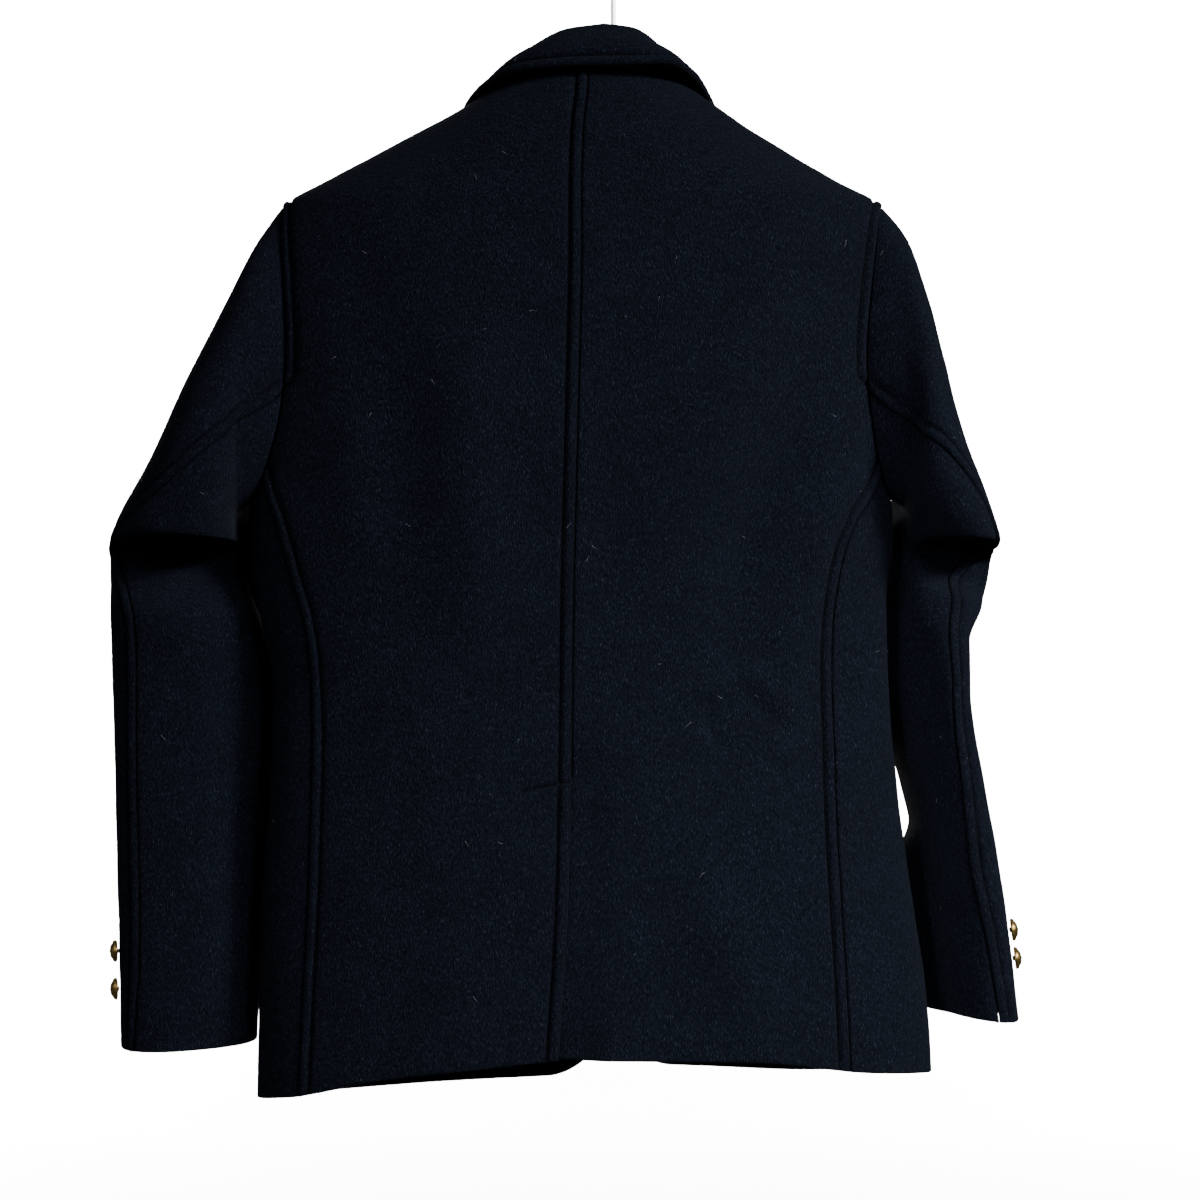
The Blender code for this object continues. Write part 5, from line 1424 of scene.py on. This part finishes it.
def wool():
    """Felted melton: matted fibres in three directions, a dark navy that
    varies a little from place to place, single paler fibres and a soft nap.
    A point attribute paints shade into the grooves at seams, edges and rows of stitches."""
    made, tree, shader = material("navy_melton", WOOL_DARK, 0.96)
    lengthwise = noise(tree, 1250, 3, (1.0, 1.0, 0.30))
    slanting = noise(tree, 1150, 3, (1.0, 1.0, 0.32), (0.0, 0.9, 0.3))
    crossing = noise(tree, 1320, 3, (1.0, 1.0, 0.32), (0.5, -0.9, 0.0))
    grain, clumps = noise(tree, 2100, 2), noise(tree, 330, 3)
    matted = added(tree, added(tree, lengthwise, slanting, 0.9), crossing, 0.9)
    colour = blend(tree, "MIX", ranged(tree, matted, 1.18, 1.66), WOOL_DARK, WOOL_MID)
    colour = mottled(tree, colour, noise(tree, 38, 4), (0.25, 0.80), (0.75, 1.12))
    colour = flecked(tree, colour, crossing, 0.60, 0.74, 0.55)
    colour = flecked(tree, colour, grain, 0.66, 0.78, 0.5)
    seams = tree.nodes.new("ShaderNodeAttribute")
    seams.attribute_name = "groove_shade"
    # painted shade: the colour goes towards near black where the stored groove shade is high
    colour = blend(tree, "MIX", seams.outputs["Fac"], colour, GROOVE_SHADE_COLOUR)
    tree.links.new(colour, shader.inputs["Base Color"])
    shader.inputs["Specular IOR Level"].default_value = 0.12
    shader.inputs["Sheen Weight"].default_value = SHEEN
    shader.inputs["Sheen Roughness"].default_value = 0.45
    shader.inputs["Sheen Tint"].default_value = SHEEN_TINT
    bump(tree, shader, added(tree, added(tree, matted, grain, 0.6), clumps, 1.1), 0.85, 0.0011)
    return made


def plain_fibre(name, colour, sheen):
    """Loose or spun fibre: one colour, a little lighter and darker in places."""
    made, tree, shader = material(name, colour, 0.8)
    shader.inputs["Specular IOR Level"].default_value = 0.1
    shader.inputs["Sheen Weight"].default_value = sheen
    tint = mottled(tree, colour, noise(tree, 700, 2), (0.3, 0.75), (0.7, 1.2))
    tree.links.new(tint, shader.inputs["Base Color"])
    return made


def gilt():
    """Gilt metal, a little worn: browner and duller in patches."""
    made, tree, shader = material("gilt", (0.72, 0.46, 0.14), 0.3, 1.0)
    worn = noise(tree, 420, 4)
    colour = ramp(tree, worn, (0.35, (0.42, 0.25, 0.07)), (0.62, (0.80, 0.54, 0.19)))
    tree.links.new(colour, shader.inputs["Base Color"])
    tree.links.new(ranged(tree, worn, 0.0, 1.0, 0.22, 0.48), shader.inputs["Roughness"])
    bump(tree, shader, noise(tree, 1500, 3), 0.25, 0.0002)
    return made


def timber():
    """Beech: fine pores stretched along the bar, over slow darker bands."""
    made, tree, shader = material("beech_wood", (0.52, 0.36, 0.20), 0.45)
    grain = noise(tree, 260, 5, (0.08, 1.0, 1.0))
    bands = noise(tree, 30, 3, (0.15, 1.0, 1.0))
    colour = ramp(tree, grain, (0.30, (0.40, 0.26, 0.13)), (0.60, (0.58, 0.41, 0.24)))
    colour = mottled(tree, colour, bands, (0.3, 0.82), (0.7, 1.08))
    tree.links.new(colour, shader.inputs["Base Color"])
    bump(tree, shader, grain, 0.3, 0.0004)
    return made


def wire():
    """Drawn steel wire: fine scratches along it and a slightly uneven shine."""
    made, tree, shader = material("drawn_steel", (0.60, 0.60, 0.60), 0.28, 1.0)
    drawn = noise(tree, 900, 3, (1.0, 1.0, 0.15))
    colour = ramp(tree, drawn, (0.3, (0.46, 0.46, 0.47)), (0.7, (0.68, 0.68, 0.67)))
    tree.links.new(colour, shader.inputs["Base Color"])
    bump(tree, shader, drawn, 0.2, 0.0002)
    return made


def dress(node, finish):
    """Give a carried-over solid its finish, through its object's slots."""
    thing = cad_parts[node]
    for slot in thing.material_slots:
        slot.link = "OBJECT"
        slot.material = finish


def area_light(name, place, target, size, spread, power):
    """An oblong light that faces its target."""
    data = bpy.data.lights.new(name, "AREA")
    data.shape = "RECTANGLE"
    data.size, data.size_y = size
    data.spread = math.radians(spread)
    data.energy = power
    made = bpy.data.objects.new(name, data)
    bpy.context.scene.collection.objects.link(made)
    made.location = place
    made.rotation_euler = (Vector(target) - Vector(place)).to_track_quat("-Z", "Y").to_euler()


def pale_sweep():
    """The backdrop: the profile SWEEP carried straight across. Its bounce isn't
    seen by the blazer, only by the camera."""
    rows, columns = SWEEP_LINES
    t = np.linspace(0, 1, rows)[:, None]
    x = np.linspace(-SWEEP_HALF, SWEEP_HALF, columns)[None, :]
    y, z = np.interp(t, SWEEP[:, 0], SWEEP[:, 1]), FLOOR + np.interp(t, SWEEP[:, 0], SWEEP[:, 2])
    grid = np.stack(np.broadcast_arrays(x, y, z), -1)
    pale, tree, shader = material("pale_sweep", (0.86, 0.86, 0.86), 0.9)
    tone = ramp(tree, noise(tree, 3, 2), (0.3, (0.85, 0.85, 0.85)), (0.7, (0.87, 0.87, 0.87)))
    tree.links.new(tone, shader.inputs["Base Color"])
    sweep = mesh_object("pale_sweep", grid.reshape(-1, 3), [grid_faces(rows, columns)[1][:, ::-1]], pale)
    sweep.visible_diffuse = False
    sweep.visible_glossy = False


def studio():
    """The sweep, a weak even light from all round, the lights and the camera."""
    pale_sweep()
    world = bpy.data.worlds.new("soft_surround")
    bpy.context.scene.world = world
    world.use_nodes = True
    world.node_tree.nodes["Background"].inputs["Color"].default_value = (1, 1, 1, 1)
    world.node_tree.nodes["Background"].inputs["Strength"].default_value = SURROUND
    for light in LIGHTS:
        area_light(*light)
    camera = bpy.data.objects.new("photo_camera", bpy.data.cameras.new("photo_camera"))
    bpy.context.scene.collection.objects.link(camera)
    camera.location = CAMERA_PLACE
    camera.rotation_euler = (math.radians(90), 0, math.radians(180))
    camera.data.lens = CAMERA_LENS
    camera.data.sensor_width = CAMERA_SENSOR
    bpy.context.scene.camera = camera


WOOL = wool()
FIBRE = plain_fibre("loose_wool", FIBRE_COLOUR, 0.3)
THREAD_DARK = plain_fibre("sewing_thread", THREAD_COLOUR, 0.0)
LINT = plain_fibre("pale_lint", LINT_COLOUR, 0.2)
GILT = gilt()
# Filled in as the cloth is sewn: rows of stitches, and outer grids with their normals
STITCHES, SURFACES = [], []

top_clock = np.concatenate([FRONT_CLOCK[2:] - 360, BACK_CLOCK[3:-1][::-1]])
under_clock = join(BACK_CLOCK[:4][::-1], UNDER_CLOCK, FRONT_CLOCK[:3])
for wearer_side in (1, -1):
    back_panel(wearer_side)
    side_panel(wearer_side)
    front_panel(wearer_side)
    lapel(wearer_side)
    pocket_flap(wearer_side)
    sleeve_piece(wearer_side, "top_sleeve", top_clock)
    sleeve_piece(wearer_side, "under_sleeve", under_clock)
collar()
stitching()
buttons()
fibres()
dress("hanger_bar", timber())
dress("hanger_hook", wire())
studio()
